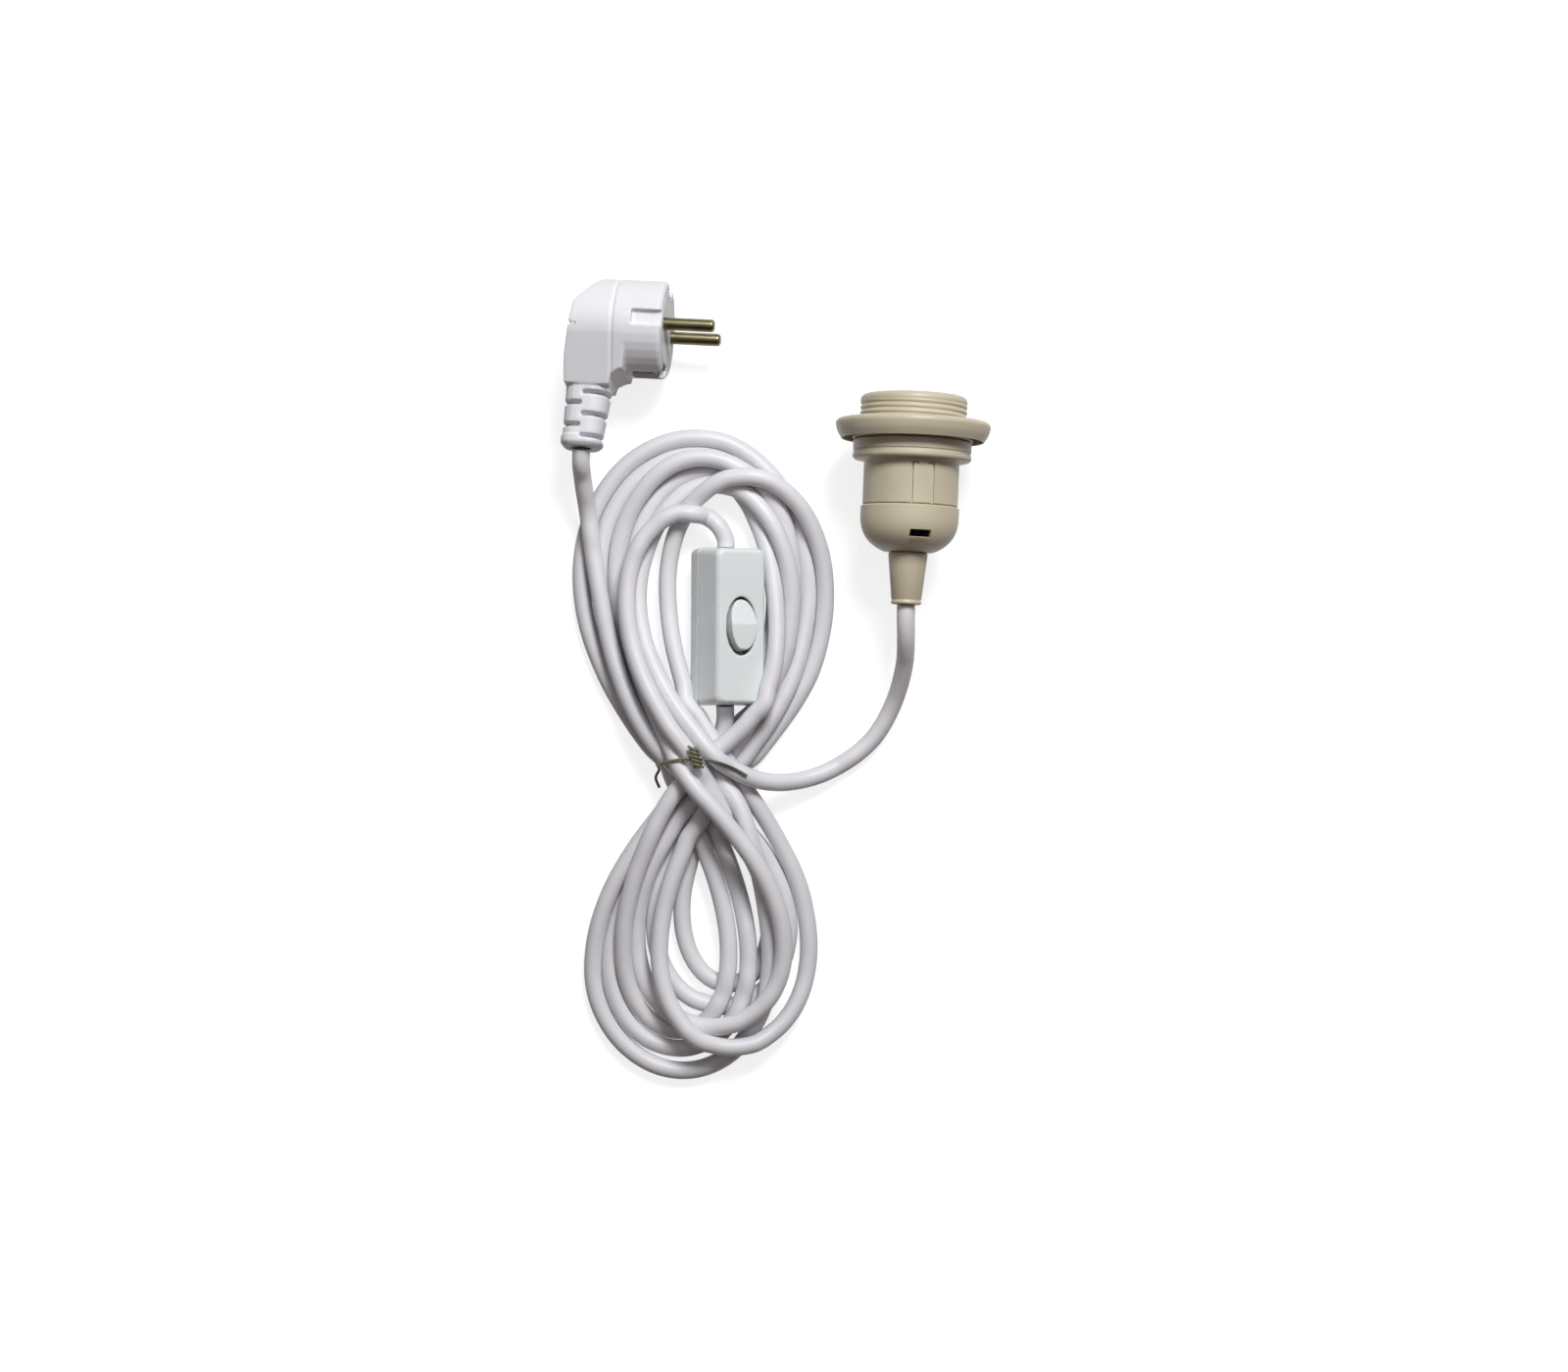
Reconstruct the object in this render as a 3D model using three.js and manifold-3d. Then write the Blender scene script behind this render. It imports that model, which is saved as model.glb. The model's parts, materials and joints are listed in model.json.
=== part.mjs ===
// Pendant cord set: a screw-cap lamp holder with a shade ring, an in-line rocker switch and an
// angled earthed plug on one round cord, wound into a figure of eight that a twist tie holds.
// Millimetres, +Z up. The lamp holder lies on the floor with its mouth towards +Y, and the origin
// is on the floor below the middle of the lamp holder.

import * as THREE from 'three';
import { mergeVertices } from 'three/addons/utils/BufferGeometryUtils.js';
import Module from 'manifold-3d';

const wasm = await Module();
wasm.setup();

// Fits and facets
const seatGap = 0.3;
const cutMargin = 1;
const turnedFacets = 36;
const smallFacets = 16;
const boreFacets = 20;
const ovalFacets = 12;
const bendFacets = 4;
const cordFacets = 8;
const cordStep = 8;

// Cord
const cordDiameter = 6.8;
const coreDiameter = 2.2;
const coreFacets = 8;
const coreStep = 3;
const cordRadius = cordDiameter / 2;
const cordHole = cordRadius + seatGap;

// Lamp holder along its axis, from the mouth to the cord's exit
const threadLength = 17;
const shoulderLength = 7.6;
const bodyLength = 16.8;
const domeLength = 17;
const gripLength = 19.3;
const holderLength = threadLength + shoulderLength + bodyLength + domeLength + gripLength + seatGap;
const mouthY = holderLength / 2;

// Lamp holder diameters
const threadDiameter = 40;
const shoulderDiameter = 44.4;
const bodyDiameter = 35.6;
const domeDiameter = 36.8;
const domeEndDiameter = 18.4;
const boreDiameter = 30;
const ringDiameter = 58;
const holderRoll = THREE.MathUtils.degToRad(12);

// Shade ring
const ringThickness = 7.3;
const ringWeb = 3;
const ringRim = 2.8;
const ringHub = 2.1;
const rimRound = 2;
const rimSteps = 3;

// Skirt
const mouthChamfer = 1.6;
const shoulderChamfer = 2.6;
const stopRingDepth = 22.2;
const stopRingWidth = 2;
const stopRingHeight = 0.7;
const spigotLength = 4.6;
const spigotWall = 1.2;
const tongueWidth = 8;
const tongueSlit = 0.8;
const tongueNotch = 1.8;
const latchSides = 2;

// Dome
const domeWall = 1.9;
const domeStraight = 4;
const domeBelly = 0.6;
const releaseWidth = 8;
const releaseHeight = 2.6;
const releaseFromEnd = 6.4;
const neckDiameter = 10;

// Cord grip
const gripTopDiameter = 14.8;
const gripEndDiameter = 11;
const gripChamfer = 0.8;
const gripMouth = 4;
const colletReach = 12;
const colletTaper = 2;
const colletFlange = 1.6;
const colletFlangeDiameter = 14;
const colletSlits = 4;
const colletSlitWidth = 0.8;
const sheathPastCollet = 2;

// Insert with its contacts
const carrierThickness = 9;
const padWidth = 26;
const padHeight = 9;
const padThickness = 2;
const shellTop = 4;
const shellPitch = 3.63;
const shellMiddleRadius = 13.2;
const shellWave = 0.6;
const shellWall = 0.5;
const shellFacets = 20;
const waveSteps = 4;
const shellFloorRadius = 9;
const stripThickness = 0.6;
const stripWidth = 4.6;
const contactRise = 4.4;
const contactRiserX = 6.6;
const sideRiserX = 10.4;
const stripFoot = 4.6;
const terminalWidth = 6;
const terminalHeight = 7;
const terminalLength = 8;
const terminalX = 8;
const screwRadius = 1.2;
const screwHeadRadius = 2;
const screwHeadHeight = 1.6;
const coreSplit = 2;
const coreSpread = 0.6;
const coreStraight = 1;

// Plug
const plugDiameter = 36.6;
const plugDepth = 36.2;
const plugFrontDepth = 19;
const plugChamferX = 10.4;
const plugChamferY = 12.8;
const plugFillet = 5;
const plugEdge = 1.2;
const plugShoulder = THREE.MathUtils.degToRad(110);
const bootTop = 23;
const bootEnd = 47;
const bootTopDepth = 17;
const bootEndDepth = 14.4;
const bootTopWidth = 17;
const bootEndWidth = 13.4;
const bootRoot = 2;
const bootCorner = 0.36;
const bootFirstSlot = 3;
const bootSlots = 5;
const bootSlotWidth = 1.6;
const bootSlotPitch = 4.1;
const bootCollar = 4.4;
const collarProud = 0.5;
const collarStep = 0.4;
const collarEdge = 1.4;
const collarRound = 0.8;
const sheathInBoot = 3.6;
const bridgeDiameter = 29;
const bridgeThickness = 3;
const pinDiameter = 4.8;
const pinLength = 19;
const pinSpacing = 19;
const pinRoot = 12;
const pinRound = 1.2;
const clipPocketWidth = 8.6;
const clipPocketDepth = 11.5;
const clipPocketFloor = 5.4;
const clipWidth = 6.4;
const clipThickness = 0.8;
const clipHook = 3.4;
const guideWidth = 5.6;
const guideDepth = 2.2;
const guideLength = 11.4;

// Switch
const switchLength = 60;
const switchWidth = 22.4;
const switchHeight = 20;
const switchTopWidth = 18;
const switchParting = -2;
const switchWall = 1.8;
const switchRound = 2.6;
const switchEdge = 1.2;
const baseLean = 0.2;
const coverLean = 0.8;
const coverBevel = 1;
const ribRoot = 0.5;
const rockerLength = 21;
const rockerWidth = 10.6;
const rockerCrest = 2.6;
const rockerRoof = 1.5;
const rockerDepth = 4.4;
const rockerGap = 0.6;
const rockerEdge = 0.7;
const rockerTilt = THREE.MathUtils.degToRad(7);
const pivotRadius = 1;
const pivotReach = 1.6;
const pivotDrop = 3.6;
const pivotLug = 2;
const lugLength = 4.8;
const lugBelowPivot = 2.2;
const actuatorWidth = 3;
const actuatorLength = 3.4;
const switchTerminalY = 11;
const switchTerminalWidth = 8;
const switchTerminalLength = 7;
const switchTerminalHeight = 6;
const bladeFoot = 6;
const bladeArch = 3;
const bladeLift = 0.8;
const clampY = 24.6;
const clampLength = 5;
const clampHeight = 2.4;
const clampSpan = 15;
const clampPost = 2.6;
const sheathPastClamp = 1;
const caseScrewX = 6;
const caseScrewY = 18.4;
const caseScrewRecess = 0.2;
const pillarRadius = 2.5;

// Where the pieces on the cord lie
const plugPlace = new THREE.Vector3(-93.3, 60.5, 22.1);
const plugYaw = THREE.MathUtils.degToRad(-1.2);
const plugPitch = THREE.MathUtils.degToRad(-6);
const plugRoll = THREE.MathUtils.degToRad(-8);
const switchPlace = new THREE.Vector3(-66.6, -49.5, 13.7);
const switchYaw = THREE.MathUtils.degToRad(2);
const switchTip = THREE.MathUtils.degToRad(24);

// Hank: two lobes that meet at a neck, where their strands cross and pile up under the tie
const hankHeight = 14;
const neckHeight = 26;
const neckFlat = 5;
const neckReach = 19;
const upperLobe = { x: -78.2, y: -33, halfWidth: 48.6, up: 59, down: 74 };
const upperHole = { x: -76.5, y: -33, halfWidth: 22.5, up: 36, down: 58 };
const lowerLobe = { x: -71.5, y: -178, halfWidth: 41.8, up: 84, down: 48.6 };
const lowerHole = { x: -70.5, y: -176, halfWidth: 9, up: 36, down: 12 };
const lobeFacets = 24;

// Twist tie
const tieY = -102.5;
const tieCentreX = -74.6;
const tieHalfWidth = 17.4;
const tieThickness = 0.9;
const tieBand = 1.8;
const tieRound = 8;
const tailLength = 9;
const tailTurns = 1.25;
const tailWidth = 2.8;
const tailThickness = 1.5;
const tailRise = 7;
const tailFacets = 8;

// Colours as the photograph shows them
const ivory = { color: 0xd8d3c0, roughness: 0.42, metalness: 0 };
const white = { color: 0xe9eaee, roughness: 0.5, metalness: 0 };
const coolWhite = { color: 0xe2e7e6, roughness: 0.4, metalness: 0 };
const ceramic = { color: 0xe8e4d8, roughness: 0.35, metalness: 0 };
const brass = { color: 0xb8a468, roughness: 0.35, metalness: 1 };
const nickel = { color: 0xa8a48c, roughness: 0.3, metalness: 1 };
const steel = { color: 0x9a9c9e, roughness: 0.35, metalness: 1 };
const brownCore = { color: 0x6b432b, roughness: 0.55, metalness: 0 };
const blueCore = { color: 0x2f5ea8, roughness: 0.55, metalness: 0 };
const cordWhite = { color: 0xe8e8ee, roughness: 0.45, metalness: 0 };
const tieGrey = { color: 0x3c3d36, roughness: 0.6, metalness: 0 };

// A closed geometry as a solid whose faces point out
function solid(geometry) {
  const bare = geometry.clone();
  bare.deleteAttribute('normal');
  bare.deleteAttribute('uv');
  const merged = mergeVertices(bare, 1e-4);
  const place = merged.attributes.position;
  const corners = [];
  let sixVolumes = 0;
  const [a, b, c] = [new THREE.Vector3(), new THREE.Vector3(), new THREE.Vector3()];
  for (let i = 0; i < merged.index.count; i += 3) {
    const [ia, ib, ic] = [0, 1, 2].map((k) => merged.index.getX(i + k));
    if (ia === ib || ib === ic || ic === ia) continue;
    a.fromBufferAttribute(place, ia);
    b.fromBufferAttribute(place, ib);
    c.fromBufferAttribute(place, ic);
    sixVolumes += a.dot(b.cross(c));
    corners.push(ia, ib, ic);
  }
  if (sixVolumes < 0) corners.reverse();
  return new wasm.Manifold(new wasm.Mesh({
    numProp: 3,
    vertProperties: new Float32Array(place.array),
    triVerts: new Uint32Array(corners),
  }));
}

// A solid as a geometry
function geometryOf(body) {
  const mesh = body.getMesh();
  const geometry = new THREE.BufferGeometry();
  geometry.setAttribute('position', new THREE.BufferAttribute(new Float32Array(mesh.vertProperties), 3));
  geometry.setIndex(new THREE.BufferAttribute(new Uint32Array(mesh.triVerts), 1));
  geometry.computeVertexNormals();
  return geometry;
}

const join = (...bodies) => bodies.reduce((whole, next) => whole.add(next));
const cut = (body, ...tools) => tools.reduce((rest, tool) => rest.subtract(tool), body);

// A box from its two corners
function box(low, high) {
  const size = high.map((value, i) => value - low[i]);
  const middle = high.map((value, i) => (value + low[i]) / 2);
  return solid(new THREE.BoxGeometry(...size).translate(...middle));
}

// A cylinder along X, Y or Z between two stations
function rod(axis, radius, from, to, across = [0, 0], facets = smallFacets) {
  const shape = new THREE.CylinderGeometry(radius, radius, to - from, facets);
  const middle = (from + to) / 2;
  if (axis === 'x') shape.rotateZ(-Math.PI / 2).translate(middle, across[0], across[1]);
  if (axis === 'y') shape.translate(across[0], middle, across[1]);
  if (axis === 'z') shape.rotateX(Math.PI / 2).translate(across[0], across[1], middle);
  return solid(shape);
}

// A profile of [radius, y] points turned about the Y axis
function turned(profile, facets = turnedFacets) {
  const points = profile.map(([radius, y]) => new THREE.Vector2(radius, y));
  if (points[0].x > 0) points.push(points[0].clone());
  return solid(new THREE.LatheGeometry(points, facets));
}

// An outline in a plane, given a depth along X, Y or Z
function slab(axis, outline, from, to, curveSegments = 8) {
  const points = Array.isArray(outline) && outline.map(([u, v]) => new THREE.Vector2(u, v));
  const shape = points ? new THREE.Shape(points) : outline;
  const depth = to - from;
  const geometry = new THREE.ExtrudeGeometry(shape, { depth, bevelEnabled: false, curveSegments });
  geometry.translate(0, 0, from);
  if (axis === 'x') geometry.rotateY(Math.PI / 2).rotateX(Math.PI / 2);
  if (axis === 'y') geometry.rotateX(Math.PI / 2).scale(1, -1, 1);
  return solid(geometry);
}

// Rings of as many points each, joined from first to last and capped
function loft(rings) {
  const count = rings[0].length;
  const places = rings.flat();
  const faces = [];
  for (let level = 0; level + 1 < rings.length; level += 1) {
    for (let i = 0; i < count; i += 1) {
      const next = (i + 1) % count;
      const [p, q] = [level * count + i, level * count + next];
      faces.push(p, q, q + count, p, q + count, p + count);
    }
  }
  for (let i = 1; i + 1 < count; i += 1) {
    const top = (rings.length - 1) * count;
    faces.push(0, i + 1, i, top, top + i, top + i + 1);
  }
  const geometry = new THREE.BufferGeometry().setFromPoints(places);
  geometry.setIndex(faces);
  return solid(geometry);
}

// A rectangle with round corners, as points at one height
function roundedRing(halfX, halfY, round, height, perCorner = 4) {
  const ring = [];
  const corners = [[1, 1], [-1, 1], [-1, -1], [1, -1]];
  corners.forEach(([signX, signY], corner) => {
    for (let i = 0; i <= perCorner; i += 1) {
      const angle = (corner + i / perCorner) * Math.PI / 2;
      ring.push(new THREE.Vector3(
        signX * (halfX - round) + round * Math.cos(angle),
        signY * (halfY - round) + round * Math.sin(angle),
        height,
      ));
    }
  });
  return ring;
}

// A round tube along a smooth curve through points
function tube(points, radius, facets = cordFacets, step = cordStep) {
  const curve = new THREE.CatmullRomCurve3(points, false, 'centripetal');
  const steps = Math.max(2, Math.round(curve.getLength() / step));
  const section = new THREE.Shape();
  section.absarc(0, 0, radius, 0, 2 * Math.PI);
  return solid(new THREE.ExtrudeGeometry(section, {
    steps,
    extrudePath: curve,
    curveSegments: facets,
    bevelEnabled: false,
  }));
}

// The same tube grown by the seat gap all round and past its last point
function tubeClearance(points, radius, facets = cordFacets, step = cordStep) {
  const last = points[points.length - 1];
  const before = points[points.length - 2];
  const beyond = last.clone().sub(before).setLength(seatGap).add(last);
  const outside = radius + seatGap / Math.cos(Math.PI / facets);
  return tube([...points, beyond], outside, facets, step);
}

const parts = new THREE.Group();

// A named piece of the set in its colour, in a group
function piece(group, name, body, look) {
  const mesh = new THREE.Mesh(geometryOf(body), new THREE.MeshStandardMaterial(look));
  mesh.name = name;
  group.add(mesh);
}

// Lamp holder stations, measured from the mouth
const shoulderStart = threadLength;
const bodyStart = shoulderStart + shoulderLength;
const domeStart = bodyStart + bodyLength;
const domeEnd = domeStart + domeLength;
const gripStart = domeEnd + seatGap;
const at = (station) => mouthY - station;

const axisHeight = ringDiameter / 2;
const boreRadius = boreDiameter / 2;
const spigotRadius = domeDiameter / 2 - domeWall - seatGap;
const carrierFront = stopRingDepth + stopRingWidth + seatGap;
const carrierRear = carrierFront + carrierThickness;
const padRear = carrierRear + padThickness;
const terminalFront = padRear + stripThickness + 2 * seatGap;
const terminalRear = terminalFront + terminalLength;
const holder = new THREE.Group();

// Slits and notches that free one latch tongue of the skirt
function tongueCuts(side) {
  const outward = bodyDiameter / 2 + cutMargin;
  const tools = [];
  for (const edge of [-1, 1]) {
    const middle = edge * tongueWidth / 2;
    tools.push(box(
      [middle - tongueSlit / 2, at(domeStart - cutMargin), 0],
      [middle + tongueSlit / 2, at(bodyStart + cutMargin), outward],
    ));
    tools.push(box(
      [middle - edge * tongueNotch - tongueSlit / 2, at(bodyStart + cutMargin + tongueNotch), 0],
      [middle + tongueSlit / 2, at(bodyStart + cutMargin), outward],
    ));
  }
  return join(...tools).rotate([0, side * 180, 0]);
}

function threadedSkirt() {
  const [threadRadius, shoulderRadius] = [threadDiameter / 2, shoulderDiameter / 2];
  const stopRadius = boreRadius - stopRingHeight;
  const rear = domeStart + spigotLength;
  const shell = turned([
    [boreRadius, at(0)],
    [threadRadius - mouthChamfer, at(0)],
    [threadRadius, at(mouthChamfer)],
    [threadRadius, at(shoulderStart)],
    [shoulderRadius, at(shoulderStart)],
    [shoulderRadius, at(bodyStart - shoulderChamfer)],
    [bodyDiameter / 2 + shoulderChamfer / 2, at(bodyStart)],
    [bodyDiameter / 2, at(bodyStart)],
    [bodyDiameter / 2, at(domeStart - seatGap)],
    [spigotRadius, at(domeStart - seatGap)],
    [spigotRadius, at(rear)],
    [spigotRadius - spigotWall, at(rear)],
    [spigotRadius - spigotWall, at(domeStart - seatGap)],
    [boreRadius, at(domeStart - cutMargin)],
    [boreRadius, at(stopRingDepth + stopRingWidth)],
    [stopRadius, at(stopRingDepth + stopRingWidth)],
    [stopRadius, at(stopRingDepth)],
    [boreRadius, at(stopRingDepth)],
  ]);
  const sides = Array.from({ length: latchSides }, (unused, side) => tongueCuts(side));
  return cut(shell, ...sides);
}

function shadeRing() {
  const bore = threadDiameter / 2 + seatGap;
  const rim = ringDiameter / 2;
  const back = shoulderStart - seatGap;
  const front = back - ringThickness;
  const rounding = Array.from({ length: rimSteps + 1 }, (unused, i) => {
    const angle = (i / rimSteps) * Math.PI / 2;
    return [
      rim - rimRound * (1 - Math.sin(angle)),
      at(front + rimRound * (1 - Math.cos(angle))),
    ];
  });
  return turned([
    [bore, at(front)],
    ...rounding,
    [rim, at(back - rimRound / 2)],
    [rim - rimRound / 2, at(back)],
    [rim - ringRim, at(back)],
    [rim - ringRim, at(front + ringWeb)],
    [bore + ringHub, at(front + ringWeb)],
    [bore + ringHub, at(back)],
    [bore, at(back)],
  ]);
}

// The dome's curve between its straight rim and its end face, moved in by a wall
function domeCurve(inset, steps = 6) {
  const start = new THREE.Vector2(domeDiameter / 2 - inset, at(domeStart + domeStraight));
  const bend = new THREE.Vector2(domeDiameter / 2 - inset - domeBelly, at(domeStart + domeLength / 2));
  const end = new THREE.Vector2(domeEndDiameter / 2 - inset / 2, at(domeEnd - inset));
  return new THREE.QuadraticBezierCurve(start, bend, end).getPoints(steps).map((p) => [p.x, p.y]);
}

function domeCap() {
  const neck = neckDiameter / 2 + seatGap;
  const shell = turned([
    [domeDiameter / 2 - domeWall, at(domeStart)],
    [domeDiameter / 2, at(domeStart)],
    ...domeCurve(0),
    [neck, at(domeEnd)],
    [neck, at(domeEnd - domeWall)],
    ...domeCurve(domeWall).reverse(),
  ]);
  const station = domeEnd - releaseFromEnd;
  const slots = Array.from({ length: latchSides }, (unused, side) => box(
    [-releaseWidth / 2, at(station + releaseHeight / 2), domeEndDiameter / 2],
    [releaseWidth / 2, at(station - releaseHeight / 2), domeDiameter / 2],
  ).rotate([0, side * 180, 0]));
  return cut(shell, ...slots);
}

function gripCollet() {
  const inside = domeEnd - domeWall - seatGap;
  const tip = gripStart + colletReach;
  const spigot = neckDiameter / 2;
  const shell = turned([
    [cordHole, at(inside - colletFlange)],
    [colletFlangeDiameter / 2, at(inside - colletFlange)],
    [colletFlangeDiameter / 2, at(inside)],
    [spigot, at(inside)],
    [spigot, at(tip - colletTaper)],
    [spigot - seatGap, at(tip)],
    [cordHole, at(tip)],
  ], turnedFacets / 2);
  const slits = Array.from({ length: colletSlits }, (unused, i) => box(
    [-colletSlitWidth / 2, at(tip + cutMargin), 0],
    [colletSlitWidth / 2, at(gripStart + colletTaper), neckDiameter],
  ).rotate([0, (i * 360) / colletSlits, 0]));
  return cut(shell, ...slits);
}

function gripNut() {
  const [wide, narrow] = [gripTopDiameter / 2, gripEndDiameter / 2];
  const end = gripStart + gripLength;
  const inner = neckDiameter / 2 + seatGap;
  return turned([
    [inner, at(gripStart)],
    [wide - gripChamfer, at(gripStart)],
    [wide, at(gripStart + gripChamfer)],
    [narrow, at(end - gripChamfer)],
    [narrow - gripChamfer, at(end)],
    [cordHole, at(end)],
    [cordHole, at(end - gripMouth)],
    [inner, at(gripStart + colletReach + seatGap)],
  ], turnedFacets);
}

// The insert, with one slot for each contact strip to pass through
function contactCarrier() {
  const disc = turned([
    [0, at(carrierFront)],
    [boreRadius - seatGap, at(carrierFront)],
    [boreRadius - seatGap, at(carrierRear)],
    [0, at(carrierRear)],
  ]);
  const pad = box(
    [-padWidth / 2, at(padRear), -padHeight / 2],
    [padWidth / 2, at(carrierRear - cutMargin), padHeight / 2],
  );
  const slot = (x) => box(
    [x - stripThickness / 2 - seatGap, at(padRear + cutMargin), -stripWidth / 2 - seatGap],
    [x + stripThickness / 2 + seatGap, at(carrierFront - cutMargin), stripWidth / 2 + seatGap],
  );
  return cut(join(disc, pad), slot(-contactRiserX), slot(sideRiserX));
}

// Rolled thread: inner and outer walls follow one wave
function screwShell() {
  const bottom = carrierFront - seatGap;
  const threadEnd = bottom - shellPitch / 2;
  const turns = Math.round(((threadEnd - shellTop) / shellPitch) * waveSteps);
  const wave = Array.from({ length: turns + 1 }, (unused, i) => {
    const station = shellTop + ((threadEnd - shellTop) * i) / turns;
    const phase = (2 * Math.PI * (station - shellTop)) / shellPitch;
    return [shellMiddleRadius + shellWave * Math.cos(phase), station];
  });
  const side = (offset) => wave.map(([radius, station]) => [radius + offset, at(station)]);
  const lastRadius = wave[wave.length - 1][0];
  return turned([
    ...side(shellWall / 2),
    [lastRadius + shellWall / 2, at(bottom)],
    [shellFloorRadius, at(bottom)],
    [shellFloorRadius, at(bottom - shellWall)],
    [lastRadius - shellWall / 2, at(bottom - shellWall)],
    ...side(-shellWall / 2).reverse(),
  ], shellFacets);
}

// The foot of a strip lies on the pad under its terminal block
function centreContact() {
  const front = carrierFront - seatGap;
  const tip = front - contactRise;
  const foot = padRear + seatGap;
  const t = stripThickness;
  const x = -contactRiserX;
  return slab('z', [
    [x - t / 2 - stripFoot, at(foot + t)],
    [x + t / 2, at(foot + t)],
    [x + t / 2, at(front)],
    [-t, at(tip + t)],
    [2 * t, at(tip + t)],
    [3 * t, at(tip + 2 * t)],
    [3 * t + t, at(tip + 2 * t)],
    [3 * t, at(tip)],
    [-t, at(tip)],
    [x - t / 2, at(front - t)],
    [x - t / 2, at(foot)],
    [x - t / 2 - stripFoot, at(foot)],
  ], -stripWidth / 2, stripWidth / 2);
}

function sideContact() {
  const front = carrierFront;
  const foot = padRear + seatGap;
  const t = stripThickness;
  const x = sideRiserX;
  return slab('z', [
    [x - t / 2 - stripFoot, at(foot)],
    [x - t / 2, at(foot)],
    [x - t / 2, at(front)],
    [x + t / 2, at(front)],
    [x + t / 2, at(foot + t)],
    [x - t / 2 - stripFoot, at(foot + t)],
  ], -stripWidth / 2, stripWidth / 2);
}

// A brass block with a wire hole from behind and a screw hole from above
function terminalBlock(x) {
  const screwY = at((terminalFront + terminalRear) / 2);
  const wireHole = coreDiameter / 2 + seatGap;
  return cut(
    box(
      [x - terminalWidth / 2, at(terminalRear), -terminalHeight / 2],
      [x + terminalWidth / 2, at(terminalFront), terminalHeight / 2],
    ),
    rod('y', wireHole, at(terminalRear + cutMargin), at(terminalFront + cutMargin), [x, 0]),
    rod('z', screwRadius + seatGap, 0, terminalHeight, [x, screwY]),
  );
}

function terminalScrew(x) {
  const screwY = at((terminalFront + terminalRear) / 2);
  const headLow = terminalHeight / 2 + seatGap;
  return cut(
    join(
      rod('z', screwRadius, coreDiameter / 2 + seatGap, headLow + cutMargin / 2, [x, screwY]),
      rod('z', screwHeadRadius, headLow, headLow + screwHeadHeight, [x, screwY]),
    ),
    box(
      [x - screwHeadRadius, screwY - stripThickness / 2, headLow + screwHeadHeight / 2],
      [x + screwHeadRadius, screwY + stripThickness / 2, headLow + screwHeadHeight * 2],
    ),
  );
}

// A core from the sheath's end to its terminal
const sheathEnd = domeEnd - domeWall - colletFlange - sheathPastCollet;
function holderCore(x) {
  const side = Math.sign(x);
  const inSheath = coreDiameter / 2 + seatGap;
  return tube([
    new THREE.Vector3(side * inSheath, at(sheathEnd - seatGap), 0),
    new THREE.Vector3(side * (inSheath + coreSpread), at(sheathEnd - coreSplit), 0),
    new THREE.Vector3(x, at(terminalRear + coreStraight), 0),
    new THREE.Vector3(x, at(terminalRear - terminalLength / 3), 0),
  ], coreDiameter / 2, coreFacets, coreStep);
}

piece(holder, 'threaded_skirt', threadedSkirt(), ivory);
piece(holder, 'shade_ring', shadeRing(), ivory);
piece(holder, 'dome_cap', domeCap(), ivory);
piece(holder, 'grip_collet', gripCollet(), ivory);
piece(holder, 'grip_nut', gripNut(), ivory);
piece(holder, 'contact_carrier', contactCarrier(), ceramic);
piece(holder, 'screw_shell', screwShell(), nickel);
piece(holder, 'centre_contact', centreContact(), brass);
piece(holder, 'side_contact', sideContact(), brass);
[-terminalX, terminalX].forEach((x, i) => {
  piece(holder, `terminal_block_${i + 1}`, terminalBlock(x), brass);
  piece(holder, `terminal_screw_${i + 1}`, terminalScrew(x), steel);
});
piece(holder, 'core_live', holderCore(-terminalX), brownCore);
piece(holder, 'core_neutral', holderCore(terminalX), blueCore);
holder.rotation.y = holderRoll;
holder.position.z = axisHeight;
parts.add(holder);

// Plug: pins along +X from its face at x = 0, cord along -Y
const plugRadius = plugDiameter / 2;
const plug = new THREE.Group();

// The outline seen from the side: front, chamfered back, and the fillet under the front
function plugSide() {
  const outline = new THREE.Shape();
  const filletX = -plugFrontDepth + plugFillet;
  const filletY = -plugRadius - plugFillet;
  outline.moveTo(-plugFrontDepth - cutMargin, plugRadius);
  outline.lineTo(-plugDepth + plugChamferX, plugRadius);
  outline.lineTo(-plugDepth, plugRadius - plugChamferY);
  outline.lineTo(-plugDepth, -bootTop - cutMargin);
  outline.lineTo(-plugDepth + bootTopDepth, -bootTop - cutMargin);
  outline.lineTo(-plugDepth + bootTopDepth, filletY);
  outline.absarc(filletX, filletY, plugFillet, Math.PI, Math.PI / 2, true);
  outline.lineTo(filletX, plugRadius);
  return outline;
}

// The outline seen from the front: a circle that tapers down to the boot
function plugFront() {
  const outline = new THREE.Shape();
  outline.absarc(0, 0, plugRadius, -plugShoulder, plugShoulder, false);
  outline.lineTo(-bootTop - 2 * cutMargin, bootTopWidth / 2);
  outline.lineTo(-bootTop - 2 * cutMargin, -bootTopWidth / 2);
  return outline;
}

// Boot section at a distance below the plug's axis
function bootSection(below, grow = 0) {
  const t = (below - bootTop) / (bootEnd - bootTop);
  const depth = THREE.MathUtils.lerp(bootTopDepth, bootEndDepth, t) + 2 * grow;
  const width = THREE.MathUtils.lerp(bootTopWidth, bootEndWidth, t) + 2 * grow;
  const round = Math.min(depth, width) * bootCorner;
  return roundedRing(depth / 2, width / 2, round, 0).map((p) => new THREE.Vector3(
    -plugDepth + depth / 2 - grow + p.x,
    -below,
    p.y,
  ));
}

const bootAxisX = -plugDepth + bootEndDepth / 2;

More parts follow.
